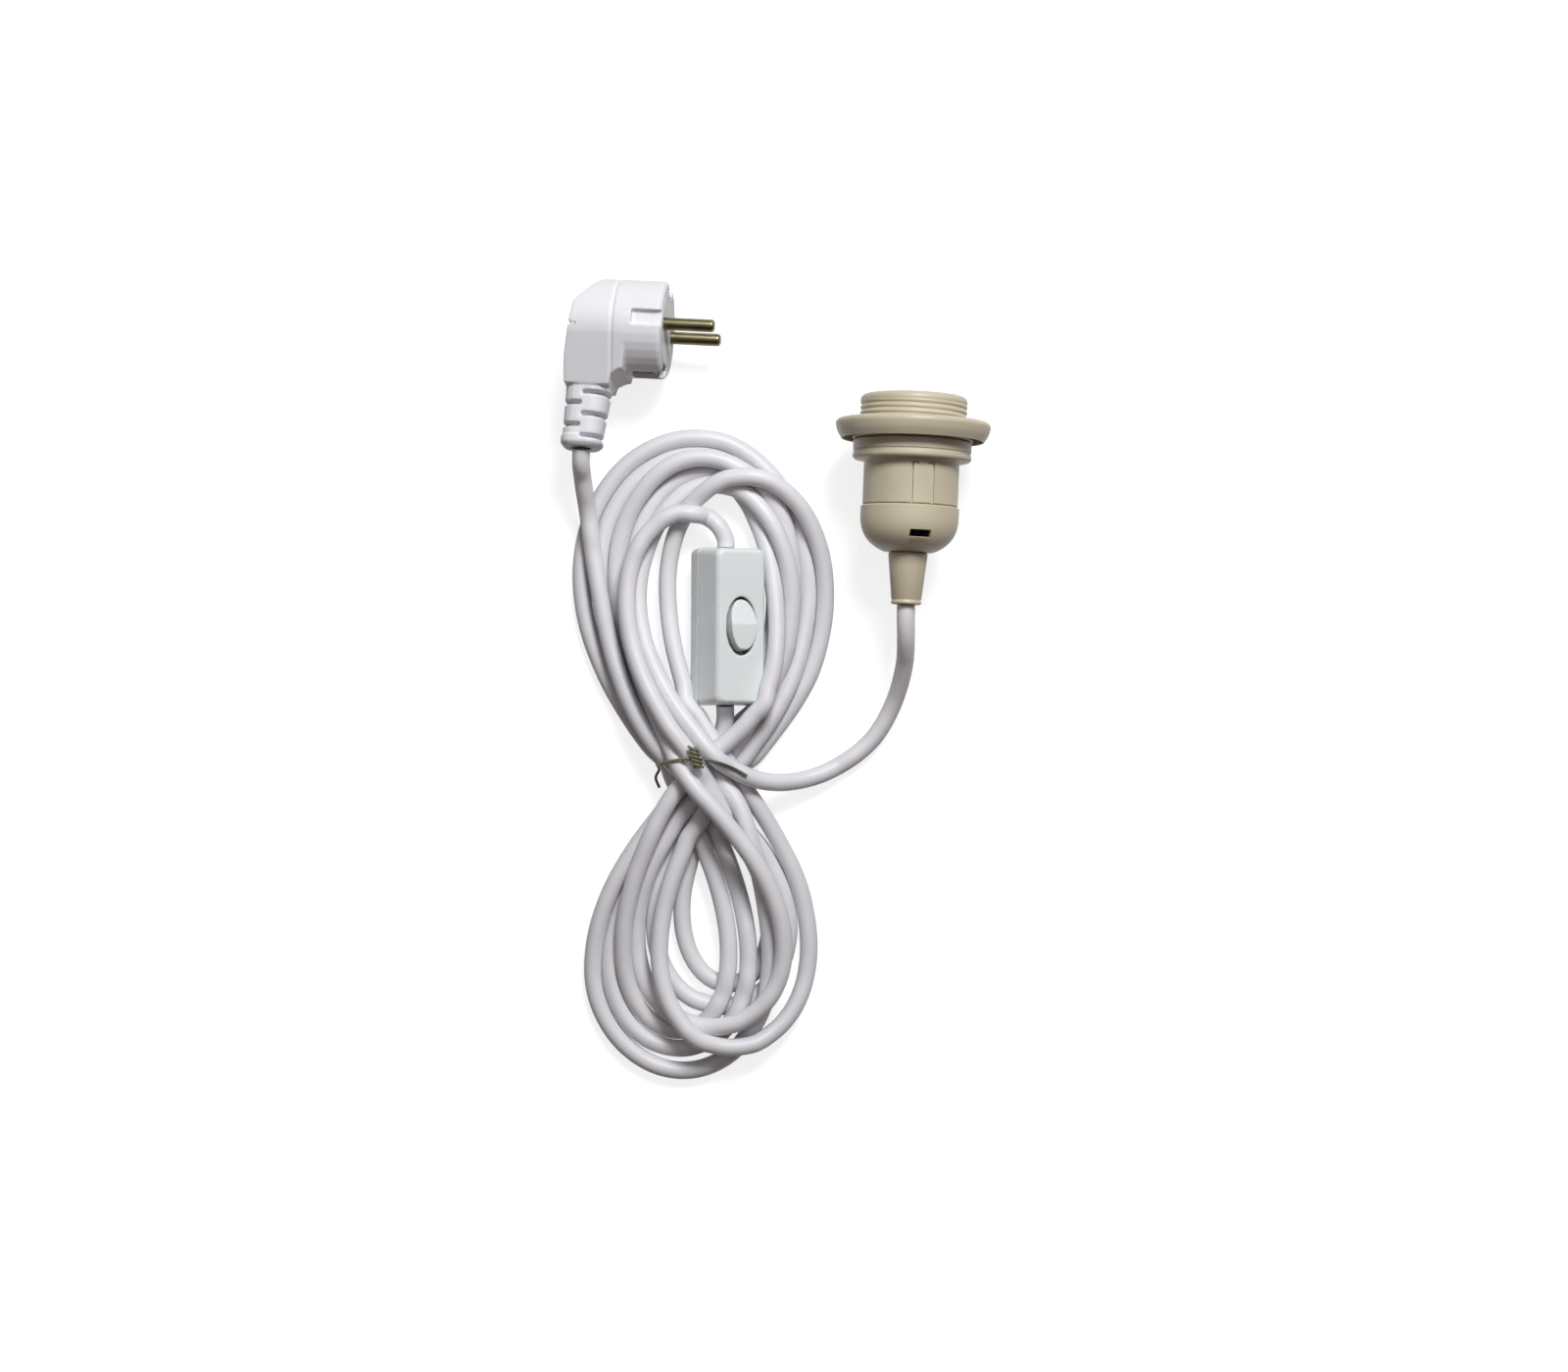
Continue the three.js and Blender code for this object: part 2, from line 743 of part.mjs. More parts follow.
// Half a washer that frees one step of the bend relief, down to the cord's sleeve
function bootSlot(index) {
  const high = -bootTop - bootFirstSlot - index * bootSlotPitch;
  const low = high - bootSlotWidth;
  const front = index % 2 === 0;
  const outside = box(
    [front ? bootAxisX : -plugDepth - cutMargin, low, -bootTopWidth],
    [front ? 0 : bootAxisX, high, bootTopWidth],
  );
  const sleeve = rod('y', cordHole + cutMargin, low - cutMargin, high + cutMargin, [bootAxisX, 0]);
  return cut(outside, sleeve);
}

function clipPocket(side) {
  return box(
    [-clipPocketDepth, plugRadius - clipPocketFloor, -clipPocketWidth / 2],
    [cutMargin, plugRadius + cutMargin, clipPocketWidth / 2],
  ).rotate([side * 180, 0, 0]);
}

// A pin's hole from the face to a depth
function pinHole(side, depth) {
  const across = [0, (side * pinSpacing) / 2];
  return rod('x', pinDiameter / 2 + seatGap, -depth, cutMargin, across, boreFacets);
}

function plugBody() {
  const front = turned([
    [0, 0],
    [plugRadius - plugEdge, 0],
    [plugRadius, -plugEdge],
    [plugRadius, -plugFrontDepth - cutMargin],
    [0, -plugFrontDepth - cutMargin],
  ]).rotate([0, 0, -90]);
  const handle = slab('z', plugSide(), -plugRadius, plugRadius)
    .intersect(slab('x', plugFront(), -plugDepth - cutMargin, 0, turnedFacets));
  const boot = loft([
    bootSection(bootTop - bootRoot),
    bootSection(bootEnd - bootCollar),
    bootSection(bootEnd - bootCollar + collarStep, collarProud),
    bootSection(bootEnd - collarEdge, collarProud),
    bootSection(bootEnd, -collarRound),
  ]);
  const slots = Array.from({ length: bootSlots }, (unused, i) => bootSlot(i));
  const recessRadius = bridgeDiameter / 2 + seatGap;
  const recess = rod('x', recessRadius, -bridgeThickness - seatGap, cutMargin, [0, 0], turnedFacets);
  const pinHoles = [-1, 1].map((side) => pinHole(side, pinRoot + seatGap));
  const guides = [-1, 1].map((side) => box(
    [-guideLength, -guideWidth / 2, side > 0 ? plugRadius - guideDepth : -plugRadius - cutMargin],
    [cutMargin, guideWidth / 2, side > 0 ? plugRadius + cutMargin : -plugRadius + guideDepth],
  ));
  const boreTop = -bootTop + sheathInBoot + seatGap;
  const cordBore = rod('y', cordHole, -bootEnd - cutMargin, boreTop, [bootAxisX, 0]);
  return cut(
    join(front, handle, boot),
    ...slots, recess, ...pinHoles, ...guides, cordBore, clipPocket(0), clipPocket(1),
  );
}

// The hard insert carries the pins and fills the face between the clip pockets
function plugBridge() {
  const disc = rod('x', bridgeDiameter / 2, -bridgeThickness, 0, [0, 0], turnedFacets);
  const holes = [-1, 1].map((side) => pinHole(side, plugDepth));
  const pockets = [0, 1].map((side) => clipPocket(side));
  return cut(disc, ...holes, ...pockets);
}

function plugPin(side) {
  const radius = pinDiameter / 2;
  const halfway = pinRound * (1 - Math.SQRT1_2);
  return turned([
    [0, -pinRoot],
    [radius, -pinRoot],
    [radius, pinLength - pinRound],
    [radius - halfway, pinLength - halfway],
    [radius - pinRound, pinLength],
    [0, pinLength],
  ], boreFacets).rotate([0, 0, -90]).translate([0, 0, (side * pinSpacing) / 2]);
}

// A bent strip along the pocket's floor, hooked at the face
function earthClip(side) {
  const floor = plugRadius - clipPocketFloor + seatGap;
  const crown = plugRadius - clipThickness;
  const t = clipThickness;
  return slab('z', [
    [-clipPocketDepth + seatGap, floor],
    [-clipPocketDepth + seatGap + t, floor],
    [-clipPocketDepth + seatGap + t, crown - t],
    [-clipHook, crown - t],
    [-clipHook / 2 - t, floor],
    [-clipHook / 2, floor],
    [-clipHook + t, crown],
    [-clipPocketDepth + seatGap, crown],
  ], -clipWidth / 2, clipWidth / 2).rotate([side * 180, 0, 0]);
}

piece(plug, 'plug_body', plugBody(), white);
piece(plug, 'plug_bridge', plugBridge(), white);
[-1, 1].forEach((side, i) => piece(plug, `plug_pin_${i + 1}`, plugPin(side), nickel));
[0, 1].forEach((side) => piece(plug, `earth_clip_${side + 1}`, earthClip(side), nickel));
plug.rotation.set(plugRoll, plugPitch, plugYaw, 'ZYX');
plug.position.copy(plugPlace);
plug.updateMatrixWorld(true);
parts.add(plug);

// Switch: long along Y, rocker on top, cord entries at both ends on the parting plane
const inline = new THREE.Group();
const [halfLength, halfWidth, halfHeight] = [switchLength / 2, switchWidth / 2, switchHeight / 2];
const topHalf = switchTopWidth / 2;
const cordLevel = switchParting;

// The case at four heights, moved in by a wall
function caseRings(levels) {
  return loft(levels.map(([halfX, halfY, height]) => roundedRing(halfX, halfY, switchRound, height)));
}

// The way for the cord through both ends
function entryBore() {
  const reach = halfLength + cutMargin;
  return rod('y', cordHole, -reach, reach, [0, cordLevel], boreFacets);
}

function switchBase() {
  const shell = caseRings([
    [halfWidth - switchEdge, halfLength - switchEdge, -halfHeight],
    [halfWidth - baseLean, halfLength - baseLean, -halfHeight + switchEdge],
    [halfWidth, halfLength, switchParting - seatGap / 2],
  ]);
  const hollow = caseRings([
    [halfWidth - switchWall, halfLength - switchWall, -halfHeight + switchWall],
    [halfWidth - switchWall, halfLength - switchWall, switchParting + cutMargin],
  ]);
  const posts = [];
  for (const y of [-clampY, clampY]) {
    for (const x of [-1, 1]) {
      const middle = x * (clampSpan - clampPost) / 2;
      posts.push(box(
        [middle - clampPost / 2, y - clampLength / 2, -halfHeight + switchWall - ribRoot],
        [middle + clampPost / 2, y + clampLength / 2, cordLevel + cordRadius - seatGap],
      ));
    }
  }
  const screwHoles = [-1, 1].flatMap((side) => {
    const across = [side * caseScrewX, side * caseScrewY];
    return [
      rod('z', screwRadius + seatGap, -halfHeight - cutMargin, 0, across),
      rod('z', screwHeadRadius + seatGap, -halfHeight - cutMargin, -halfHeight + screwHeadHeight, across),
    ];
  });
  const seats = [-1, 1].map((side) => rod(
    'z', pillarRadius + 2 * seatGap, -halfHeight + switchEdge, switchParting - 2 * seatGap,
    [side * caseScrewX, side * caseScrewY],
  ));
  return cut(join(cut(shell, hollow), ...posts, ...seats), entryBore(), ...screwHoles);
}

// The rocker's oval outline, grown by a gap
function ovalOutline(grow = 0) {
  const oval = new THREE.Shape();
  oval.absellipse(0, 0, rockerWidth / 2 + grow, rockerLength / 2 + grow, 0, 2 * Math.PI);
  return oval;
}

const pivotLevel = halfHeight - pivotDrop;

function switchCover() {
  const shell = caseRings([
    [halfWidth, halfLength, switchParting + seatGap / 2],
    [topHalf + coverBevel / 2, halfLength - coverLean, halfHeight - switchEdge],
    [topHalf - coverBevel / 2, halfLength - coverLean - coverBevel, halfHeight],
  ]);
  const hollow = caseRings([
    [halfWidth - switchWall, halfLength - switchWall, switchParting - cutMargin],
    [topHalf + coverBevel / 2 - switchWall, halfLength - switchWall, halfHeight - switchWall],
  ]);
  const roof = halfHeight - switchWall + ribRoot;
  const pillars = [-1, 1].map((side) => rod(
    'z', pillarRadius, switchParting, roof, [side * caseScrewX, side * caseScrewY],
  ));
  const lugInner = rockerWidth / 2 + rockerGap;
  const lugOuter = lugInner + pivotLug;
  const lugLow = pivotLevel - lugBelowPivot;
  const lugs = [-1, 1].map((side) => box(
    [Math.min(side * lugInner, side * lugOuter), -lugLength / 2, lugLow],
    [Math.max(side * lugInner, side * lugOuter), lugLength / 2, roof],
  ));
  const window = slab('z', ovalOutline(rockerGap), lugLow - cutMargin, halfHeight + cutMargin, ovalFacets);
  const boreEnd = rockerWidth / 2 + pivotReach + seatGap;
  const pivotBore = rod('x', pivotRadius + seatGap, -boreEnd, boreEnd, [0, pivotLevel]);
  const screwBores = [-1, 1].map((side) => rod(
    'z', screwRadius + seatGap, switchParting - cutMargin, halfHeight - switchWall,
    [side * caseScrewX, side * caseScrewY],
  ));
  return cut(join(cut(shell, hollow), ...pillars, ...lugs), window, pivotBore, entryBore(), ...screwBores);
}

// A shallow roof over an oval, with trunnions and an actuator below
function switchRocker() {
  const low = -rockerDepth / 2;
  const crest = halfHeight - pivotLevel + rockerCrest;
  const eave = crest - rockerRoof;
  const end = rockerLength / 2;
  const roof = slab('x', [
    [-end, low],
    [end, low],
    [end, eave - rockerEdge],
    [end - rockerEdge, eave],
    [0, crest],
    [-end + rockerEdge, eave],
    [-end, eave - rockerEdge],
  ], -rockerWidth / 2, rockerWidth / 2);
  const oval = slab('z', ovalOutline(), low - cutMargin, crest + cutMargin, ovalFacets);
  const reach = rockerWidth / 2 + pivotReach;
  const trunnions = rod('x', pivotRadius, -reach, reach);
  const stem = actuatorWidth / 2;
  const actuator = box([-stem, -stem, low - actuatorLength], [stem, stem, 0]);
  return join(roof.intersect(oval), trunnions, actuator);
}

const actuatorTip = pivotLevel - rockerDepth / 2 - actuatorLength;
const terminalLow = -halfHeight + switchWall + seatGap;
const terminalHigh = terminalLow + switchTerminalHeight;

function switchTerminal(side) {
  const middle = side * switchTerminalY;
  const low = middle - switchTerminalLength;
  const high = middle + switchTerminalLength;
  const level = (terminalLow + terminalHigh) / 2;
  return cut(
    box(
      [-switchTerminalWidth / 2, middle - switchTerminalLength / 2, terminalLow],
      [switchTerminalWidth / 2, middle + switchTerminalLength / 2, terminalHigh],
    ),
    rod('y', coreDiameter / 2 + seatGap, low, high, [0, level]),
  );
}

// A strip from one terminal's top to above the other, arched under the actuator
function contactBlade() {
  const t = stripThickness;
  const low = terminalHigh + seatGap;
  const free = low + bladeLift;
  const arch = Math.min(actuatorTip - seatGap - t, low + bladeArch);
  const end = switchTerminalY + switchTerminalLength / 2;
  const underside = [
    [-end, low],
    [-end + bladeFoot, low],
    [-bladeArch, arch],
    [bladeArch, arch],
    [end - bladeFoot, free],
    [end, free],
  ];
  const topside = underside.map(([y, z]) => [y, z + t]).reverse();
  return slab('x', [...underside, ...topside], -switchTerminalWidth / 2, switchTerminalWidth / 2);
}

function cordClamp(side) {
  const low = cordLevel + cordRadius;
  return box(
    [-clampSpan / 2, side * clampY - clampLength / 2, low],
    [clampSpan / 2, side * clampY + clampLength / 2, low + clampHeight],
  ).subtract(entryBore());
}

function caseScrew(side) {
  const across = [side * caseScrewX, side * caseScrewY];
  const headTop = -halfHeight + screwHeadHeight - seatGap;
  return join(
    rod('z', screwHeadRadius, -halfHeight + caseScrewRecess, headTop, across),
    rod('z', screwRadius, headTop - ribRoot, halfHeight / 2, across),
  );
}

piece(inline, 'switch_base', switchBase(), coolWhite);
piece(inline, 'switch_cover', switchCover(), coolWhite);
piece(inline, 'switch_terminal_in', switchTerminal(1), brass);
piece(inline, 'switch_terminal_out', switchTerminal(-1), brass);
piece(inline, 'switch_contact_blade', contactBlade(), brass);
[1, -1].forEach((side, i) => {
  piece(inline, `switch_clamp_${i + 1}`, cordClamp(side), coolWhite);
  piece(inline, `switch_screw_${i + 1}`, caseScrew(side), steel);
});
const rocker = new THREE.Group();
piece(rocker, 'switch_rocker', switchRocker(), coolWhite);
rocker.position.z = pivotLevel;
rocker.rotation.x = -rockerTilt;
inline.add(rocker);
inline.rotation.set(0, switchTip, switchYaw, 'ZYX');
inline.position.copy(switchPlace);
inline.updateMatrixWorld(true);
parts.add(inline);

// The cord's free stretches, each from inside its piece to inside the hank
const onSwitch = (x, y, z) => new THREE.Vector3(x, y, z).applyMatrix4(inline.matrixWorld);
const onPlug = (x, y, z) => new THREE.Vector3(x, y, z).applyMatrix4(plug.matrixWorld);
const place = (x, y, z) => new THREE.Vector3(x, y, z);
const straightOut = 2.5;
const sheathInSwitch = clampY - clampLength / 2 - sheathPastClamp;

const lampRoute = [
  place(0, at(sheathEnd), axisHeight),
  place(0, at(gripStart), axisHeight),
  place(0, -mouthY, axisHeight),
  place(0, -mouthY - straightOut, axisHeight),
  place(0.6, -51, 26),
  place(0.8, -62, 17),
  place(-2.6, -77, 7),
  place(-9.5, -90, 3.9),
  place(-20, -99.5, 3.9),
  place(-33, -106, 4),
  place(-45, -108.6, 6),
  place(-57, -108.2, 9),
];
const plugRoute = [
  onPlug(bootAxisX, -bootTop + sheathInBoot, 0),
  onPlug(bootAxisX, -bootEnd + straightOut, 0),
  onPlug(bootAxisX, -bootEnd, 0),
  onPlug(bootAxisX, -bootEnd - straightOut, 0),
  place(-123.6, 6, 21),
  place(-122.4, -2, 16.5),
  place(-120.4, -12, 12),
  place(-117.6, -25, 9.5),
];
const switchUpRoute = [
  onSwitch(0, sheathInSwitch, cordLevel),
  onSwitch(0, halfLength - straightOut, cordLevel),
  onSwitch(0, halfLength, cordLevel),
  onSwitch(0, halfLength + straightOut, cordLevel),
  place(-70.8, -12.4, 12.4),
  place(-75.9, -8.4, 11.6),
  place(-82.4, -6.2, 11),
  place(-88.7, -6.8, 10),
  place(-95, -9.5, 9),
];
const switchDownRoute = [
  onSwitch(0, -sheathInSwitch, cordLevel),
  onSwitch(0, -halfLength + straightOut, cordLevel),
  onSwitch(0, -halfLength, cordLevel),
  onSwitch(0, -halfLength - straightOut, cordLevel),
  place(-66.2, -86, 10.6),
  place(-67.6, -95, 8.4),
];
const leads = {
  lamp_lead: lampRoute,
  plug_lead: plugRoute,
  switch_lead_up: switchUpRoute,
  switch_lead_down: switchDownRoute,
};
for (const [name, route] of Object.entries(leads)) {
  piece(parts, name, tube(route, cordRadius), cordWhite);
}

// One lobe as two half ellipses on a common width
function lobe({ x, y, halfWidth: half, up, down }, low, high) {
  const outline = new THREE.Shape();
  outline.absellipse(x, y, half, up, 0, Math.PI, false);
  outline.absellipse(x, y, half, down, Math.PI, 2 * Math.PI, false);
  return slab('z', outline, low, high, lobeFacets / 2);
}

// The tie's loop as a rounded outline in the plane across the hank
function tieOutline(grow) {
  const outline = new THREE.Shape();
  const half = tieHalfWidth + grow;
  const low = tieThickness - grow;
  const high = neckHeight - tieThickness + grow;
  const round = tieRound + grow;
  outline.absarc(tieCentreX + half - round, low + round, round, -Math.PI / 2, 0, false);
  outline.absarc(tieCentreX + half - round, high - round, round, 0, Math.PI / 2, false);
  outline.absarc(tieCentreX - half + round, high - round, round, Math.PI / 2, Math.PI, false);
  outline.absarc(tieCentreX - half + round, low + round, round, Math.PI, 1.5 * Math.PI, false);
  return outline;
}

// The hank from the side: two low lobes and the pile of strands between them
function hankSide() {
  const front = lowerLobe.y - lowerLobe.down;
  const rear = upperLobe.y + upperLobe.up;
  const across = 2 * upperLobe.halfWidth;
  return slab('x', [
    [front, 0],
    [rear, 0],
    [rear, hankHeight],
    [tieY + neckReach, hankHeight],
    [tieY + neckFlat, neckHeight],
    [tieY - neckFlat, neckHeight],
    [tieY - neckReach, hankHeight],
    [front, hankHeight],
  ], tieCentreX - across, tieCentreX + across);
}

function cordHank() {
  const lobes = cut(
    join(lobe(upperLobe, 0, neckHeight), lobe(lowerLobe, 0, neckHeight)),
    lobe(upperHole, -cutMargin, neckHeight + cutMargin),
    lobe(lowerHole, -cutMargin, neckHeight + cutMargin),
  ).intersect(hankSide());
  const half = tieBand / 2 + seatGap;
  const pinch = box(
    [tieCentreX - upperLobe.halfWidth, tieY - half, -cutMargin],
    [tieCentreX + upperLobe.halfWidth, tieY + half, neckHeight + cutMargin],
  ).subtract(slab('y', tieOutline(-seatGap), tieY - 2 * half, tieY + 2 * half, bendFacets));
  const caseRoom = caseRings([
    [halfWidth + seatGap, halfLength + seatGap, -halfHeight - seatGap],
    [halfWidth + seatGap, halfLength + seatGap, switchParting],
    [topHalf + coverBevel / 2 + seatGap, halfLength + seatGap, halfHeight + seatGap],
  ]).transform(inline.matrixWorld.toArray());
  const leadRooms = Object.values(leads).map((route) => tubeClearance(route, cordRadius));
  return cut(lobes, pinch, caseRoom, ...leadRooms);
}

// A loop round the hank with two tails twisted together on top
function twistTie() {
  const loop = slab('y', tieOutline(tieThickness), tieY - tieBand / 2, tieY + tieBand / 2, bendFacets)
    .subtract(slab('y', tieOutline(0), tieY - tieBand, tieY + tieBand, bendFacets));
  const levels = 10;
  const tailLift = (tailWidth + tieThickness) / 2 + seatGap;
  const tails = loft(Array.from({ length: levels + 1 }, (unused, level) => {
    const along = level / levels;
    const turn = along * tailTurns * 2 * Math.PI;
    return Array.from({ length: tailFacets }, (skip, i) => {
      const angle = (i / tailFacets) * 2 * Math.PI;
      const p = new THREE.Vector2(tailWidth / 2 * Math.cos(angle), tailThickness / 2 * Math.sin(angle));
      p.rotateAround(new THREE.Vector2(), turn);
      return new THREE.Vector3(p.x, along * tailLength, p.y + Math.min(1, along * tailRise) * tailLift);
    });
  })).translate([tieCentreX - tieBand, tieY, neckHeight - tieThickness / 2]);
  return join(loop, tails);
}

piece(parts, 'cord_hank', cordHank(), cordWhite);
piece(parts, 'twist_tie', twistTie(), tieGrey);

export default parts;
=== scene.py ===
"""Looks of the pendant cord set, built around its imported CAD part.

Lengths are in millimetres, in the CAD's own frame, and become metres where Blender takes them.
"""

import json
import math
from collections import namedtuple

import bmesh
import bpy
import numpy as np
from mathutils import Euler, Matrix, Vector
from mathutils.bvhtree import BVHTree

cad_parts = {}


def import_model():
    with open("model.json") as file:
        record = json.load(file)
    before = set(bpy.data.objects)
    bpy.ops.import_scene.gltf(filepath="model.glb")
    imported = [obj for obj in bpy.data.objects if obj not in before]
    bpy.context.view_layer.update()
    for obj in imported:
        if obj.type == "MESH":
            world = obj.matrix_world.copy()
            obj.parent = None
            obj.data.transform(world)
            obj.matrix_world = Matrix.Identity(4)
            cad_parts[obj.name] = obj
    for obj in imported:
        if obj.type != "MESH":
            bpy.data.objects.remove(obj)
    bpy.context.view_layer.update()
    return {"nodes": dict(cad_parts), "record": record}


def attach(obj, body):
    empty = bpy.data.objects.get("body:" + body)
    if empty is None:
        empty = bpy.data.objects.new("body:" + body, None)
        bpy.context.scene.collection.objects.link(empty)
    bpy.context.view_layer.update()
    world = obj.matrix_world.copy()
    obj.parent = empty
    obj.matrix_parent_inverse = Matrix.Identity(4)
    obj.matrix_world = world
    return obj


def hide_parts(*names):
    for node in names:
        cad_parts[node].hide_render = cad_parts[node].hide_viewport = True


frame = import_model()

MM = 0.001

# Camera: the photograph's width, the focal length in its pixels, and the place, roll and reach
PHOTO_WIDTH = 1600
FOCAL_PIXELS = 2653
SENSOR_WIDTH = 36
CAMERA_PLACE = (-44.3, -71.2, 1000)
CAMERA_ROLL = math.radians(2.3)
CAMERA_CLIP = (0.01, 50)

# Light. Each side of the sky has its direction, where it starts and ends along it, and its colour.
SKY_COLOUR = (1, 1, 1)
SKY_STRENGTH = 0.44
SKY_SIDES = [
    ((0, 0, -1), -0.6, -0.15, (0.1, 0.1, 0.1)),
    ((-1, 0, -0.35), 0.35, 0.7, (0.01, 0.012, 0.012)),
    ((1, 0, -0.35), 0.45, 0.85, (0.1, 0.07, 0.06)),
    ((0.1, -1, -0.1), -0.1, 0.4, (0.14, 0.06, 0.03)),
]
KEY_PLACE = (0.14, 0.64, 0.9)
KEY_AIM = (-0.04, -0.07, 0)
KEY_SIZE = 0.34
KEY_POWER = 11.6
FLOOR_SIZE = 24
FLOOR_COLOUR = (0.42, 0.42, 0.42)
FLOOR_BOUNCE = (0.05, 0.035, 0.03)
FLOOR_GLOW = 0.8
FLOOR_ROUGHNESS = 0.9
FLOOR_SPECULAR = 0.2
BACKDROP_RADIUS = 10
BACKDROP_HEIGHT = 10
BACKDROP_GLOW = 0.92

# Materials: scale and detail of the mottling and of the grain, and how far the gloss varies
PLASTIC_MOTTLING = (45, 2)
PLASTIC_GRAIN = (2600, 3)
PLASTIC_GLOSS = (-0.07, 0.07)
PLASTIC_IOR = 1.5
METAL_MOTTLING = (220, 3)
METAL_GRAIN = (4000, 4)
METAL_GLOSS = (-0.08, 0.1)
MOTTLING_BLEND = (0.35, 0.65)
BUMP_STRENGTH = 0.6

# Edges that bend more than this, in degrees, look sharp
SHARP_ANGLE = 35
SMALL_PIECE_SHARP_ANGLE = 50

# Cord
CORD_DIAMETER = 6.8
CORD_RADIUS = CORD_DIAMETER / 2
CORD_ROUNDNESS = 4
POINT_STEP = 3

# Plug and switch, as the CAD places them
PLUG_PLACE = (-93.3, 60.5, 22.1)
PLUG_TURN = (math.radians(-8), math.radians(-6), math.radians(-1.2))
BOOT_END = 47
BOOT_AXIS_X = -29
SWITCH_PLACE = (-66.6, -49.5, 13.7)
SWITCH_TURN = (0, math.radians(24), math.radians(2))
SWITCH_LENGTH = 60
CORD_LEVEL = -2
STRAIGHT_OUT = 2.5
HOLDER_END = -39
AXIS_HEIGHT = 29

# Lamp holder stations along its axis, from the mouth, and its radii
MOUTH_Y = 39
HOLDER_ROLL = math.radians(12)
THREAD_RADIUS = 20
THREAD_DEPTH = 0.55
THREAD_PITCH = 2
THREAD_FROM = 2.6
THREAD_TO = 15.8
MOUTH_ROUND = 2.2
SHOULDER_START = 17
SHOULDER_RADIUS = 22.2
SHOULDER_LIP = 21.4
LIP_GROOVE = 0.5
LIP_FROM_BODY = 1.6
LIP_ROUND = 1.4
BODY_FILLET = 1.3
FILLET_FROM_BODY = 1.1
BODY_START = 24.6
BODY_RADIUS = 17.8
BORE_RADIUS = 15
SEAM = 41.4
SEAM_GAP = 0.3
SPIGOT_RADIUS = 16.2
SPIGOT_END = 46
DOME_RADIUS = 18.4
DOME_STRAIGHT = 4
DOME_BEND_FROM_END = 3.4
DOME_END = 58.4
DOME_END_RADIUS = 9.2
DOME_WALL = 1.9
NECK_HOLE = 5.3
GRIP_START = 58.7
GRIP_END = 78
GRIP_RADIUS = 7.4
GRIP_END_RADIUS = 5.5
CORD_HOLE = 3.7
RING_FRONT = 9.4
RING_BACK = 16.7
RING_RADIUS = 29
RING_BORE = 20.35
RING_RIM = 2.8
RING_WEB = 3
RING_ROUND = 1.9
RING_HUB = 2.1
TONGUE_WIDTH = 8
TONGUE_SLIT = 0.8
TONGUE_CUT_DEPTH = 3.4
TONGUE_CUT_MARGIN = 2
TONGUE_ROOT = 1.2
NOTCH_SIZE = (2.2, 0.9)
RELEASE_SIZE = (8, 2.6)
RELEASE_FROM_END = 6.4
LIP_RISE = 0.7
LIP_COLUMNS = 16
LIP_PROFILE_STEPS = 60
TURN_SEGMENTS = 144
NUT_SEGMENTS = 96
PROFILE_STEPS = 24
INNER_STEPS = 10
THREAD_STEP = 0.2

# Pins
PIN_RADIUS = 2.4
PIN_LENGTH = 19
PIN_ROOT = 12
PIN_SPACING = 19
PIN_ROUND = 1.3
PIN_ROUND_STEPS = 6
PIN_SEGMENTS = 40
PIN_CENTRE = 0.01

# The plug's upper back, which leans forward above the bend relief
BACK_FROM = -14
BACK_TOP = 16
BACK_REAR = -36
BACK_FRONT = -20
BACK_LEAN = 4

# The parting line of the disc and the handle, and the small notch in the back
DISC_REAR = -18.6
GROOVE_DEPTH = 0.55
GROOVE_HALF_WIDTH = 0.8
NOTCH_AT = -3.4
NOTCH_DEPTH = 1.3
HANDLE_BACK = -34

# The switch leans over to its right, and its rocker is smaller than its hole
SWITCH_WIDEN = 1.05
SWITCH_LEAN = 0.1
SWITCH_LEAN_FROM = -6
ROCKER_SCALE = 0.93

# Hidden and metal pieces that go with a cord
PLUG_PARTS = ["plug_bridge", "earth_clip_1", "earth_clip_2"]
SWITCH_PARTS = [
    "switch_clamp_1", "switch_clamp_2", "switch_contact_blade", "switch_screw_1", "switch_screw_2",
    "switch_terminal_in", "switch_terminal_out",
]

# Moulded housings: fineness of their skin, and how much their edges are rounded
PLUG_SKIN = 0.42
SWITCH_SKIN = 0.36
ROCKER_SKIN = 0.24
PLUG_SOFTENING = 5
SWITCH_SOFTENING = 8
ROCKER_SOFTENING = 5

# Twist tie: its wire, the bow and tilt of its loop, its knot and its loose end
TIE_WIRE = 0.55
TIE_BOW = 4.5
TIE_TILT = -0.06
KNOT_X = -76
KNOT_LENGTH = 7.5
KNOT_TURNS = 2.5
KNOT_RADIUS = 1.5
LOOSE_END = [(0.8, -2), (-0.4, -5), (1.2, -9)]
TIE_STEP = 0.8
TIE_ROUNDNESS = 3
TIE_ARC_STEPS = 24
TIE_MARGIN = 1
TIE_BOW_MIDDLE = 0.6
KNOT_STEPS = 40
KNOT_BACK = 0.4
KNOT_SLANT = 0.35
KNOT_HEIGHT_SHARE = 0.1

# The neck that the tie pinches
TIE_Y = -102.5
TIE_X = -74.6
NECK_HALF_WIDTH = 13.6
NECK_BAND = 3
NECK_POWER = 1.7
NECK_STEPS = 3

# The right strands of the upper lobe pass the switch's near end here
GATE_Y = -87
GATE_POWER = 2.4

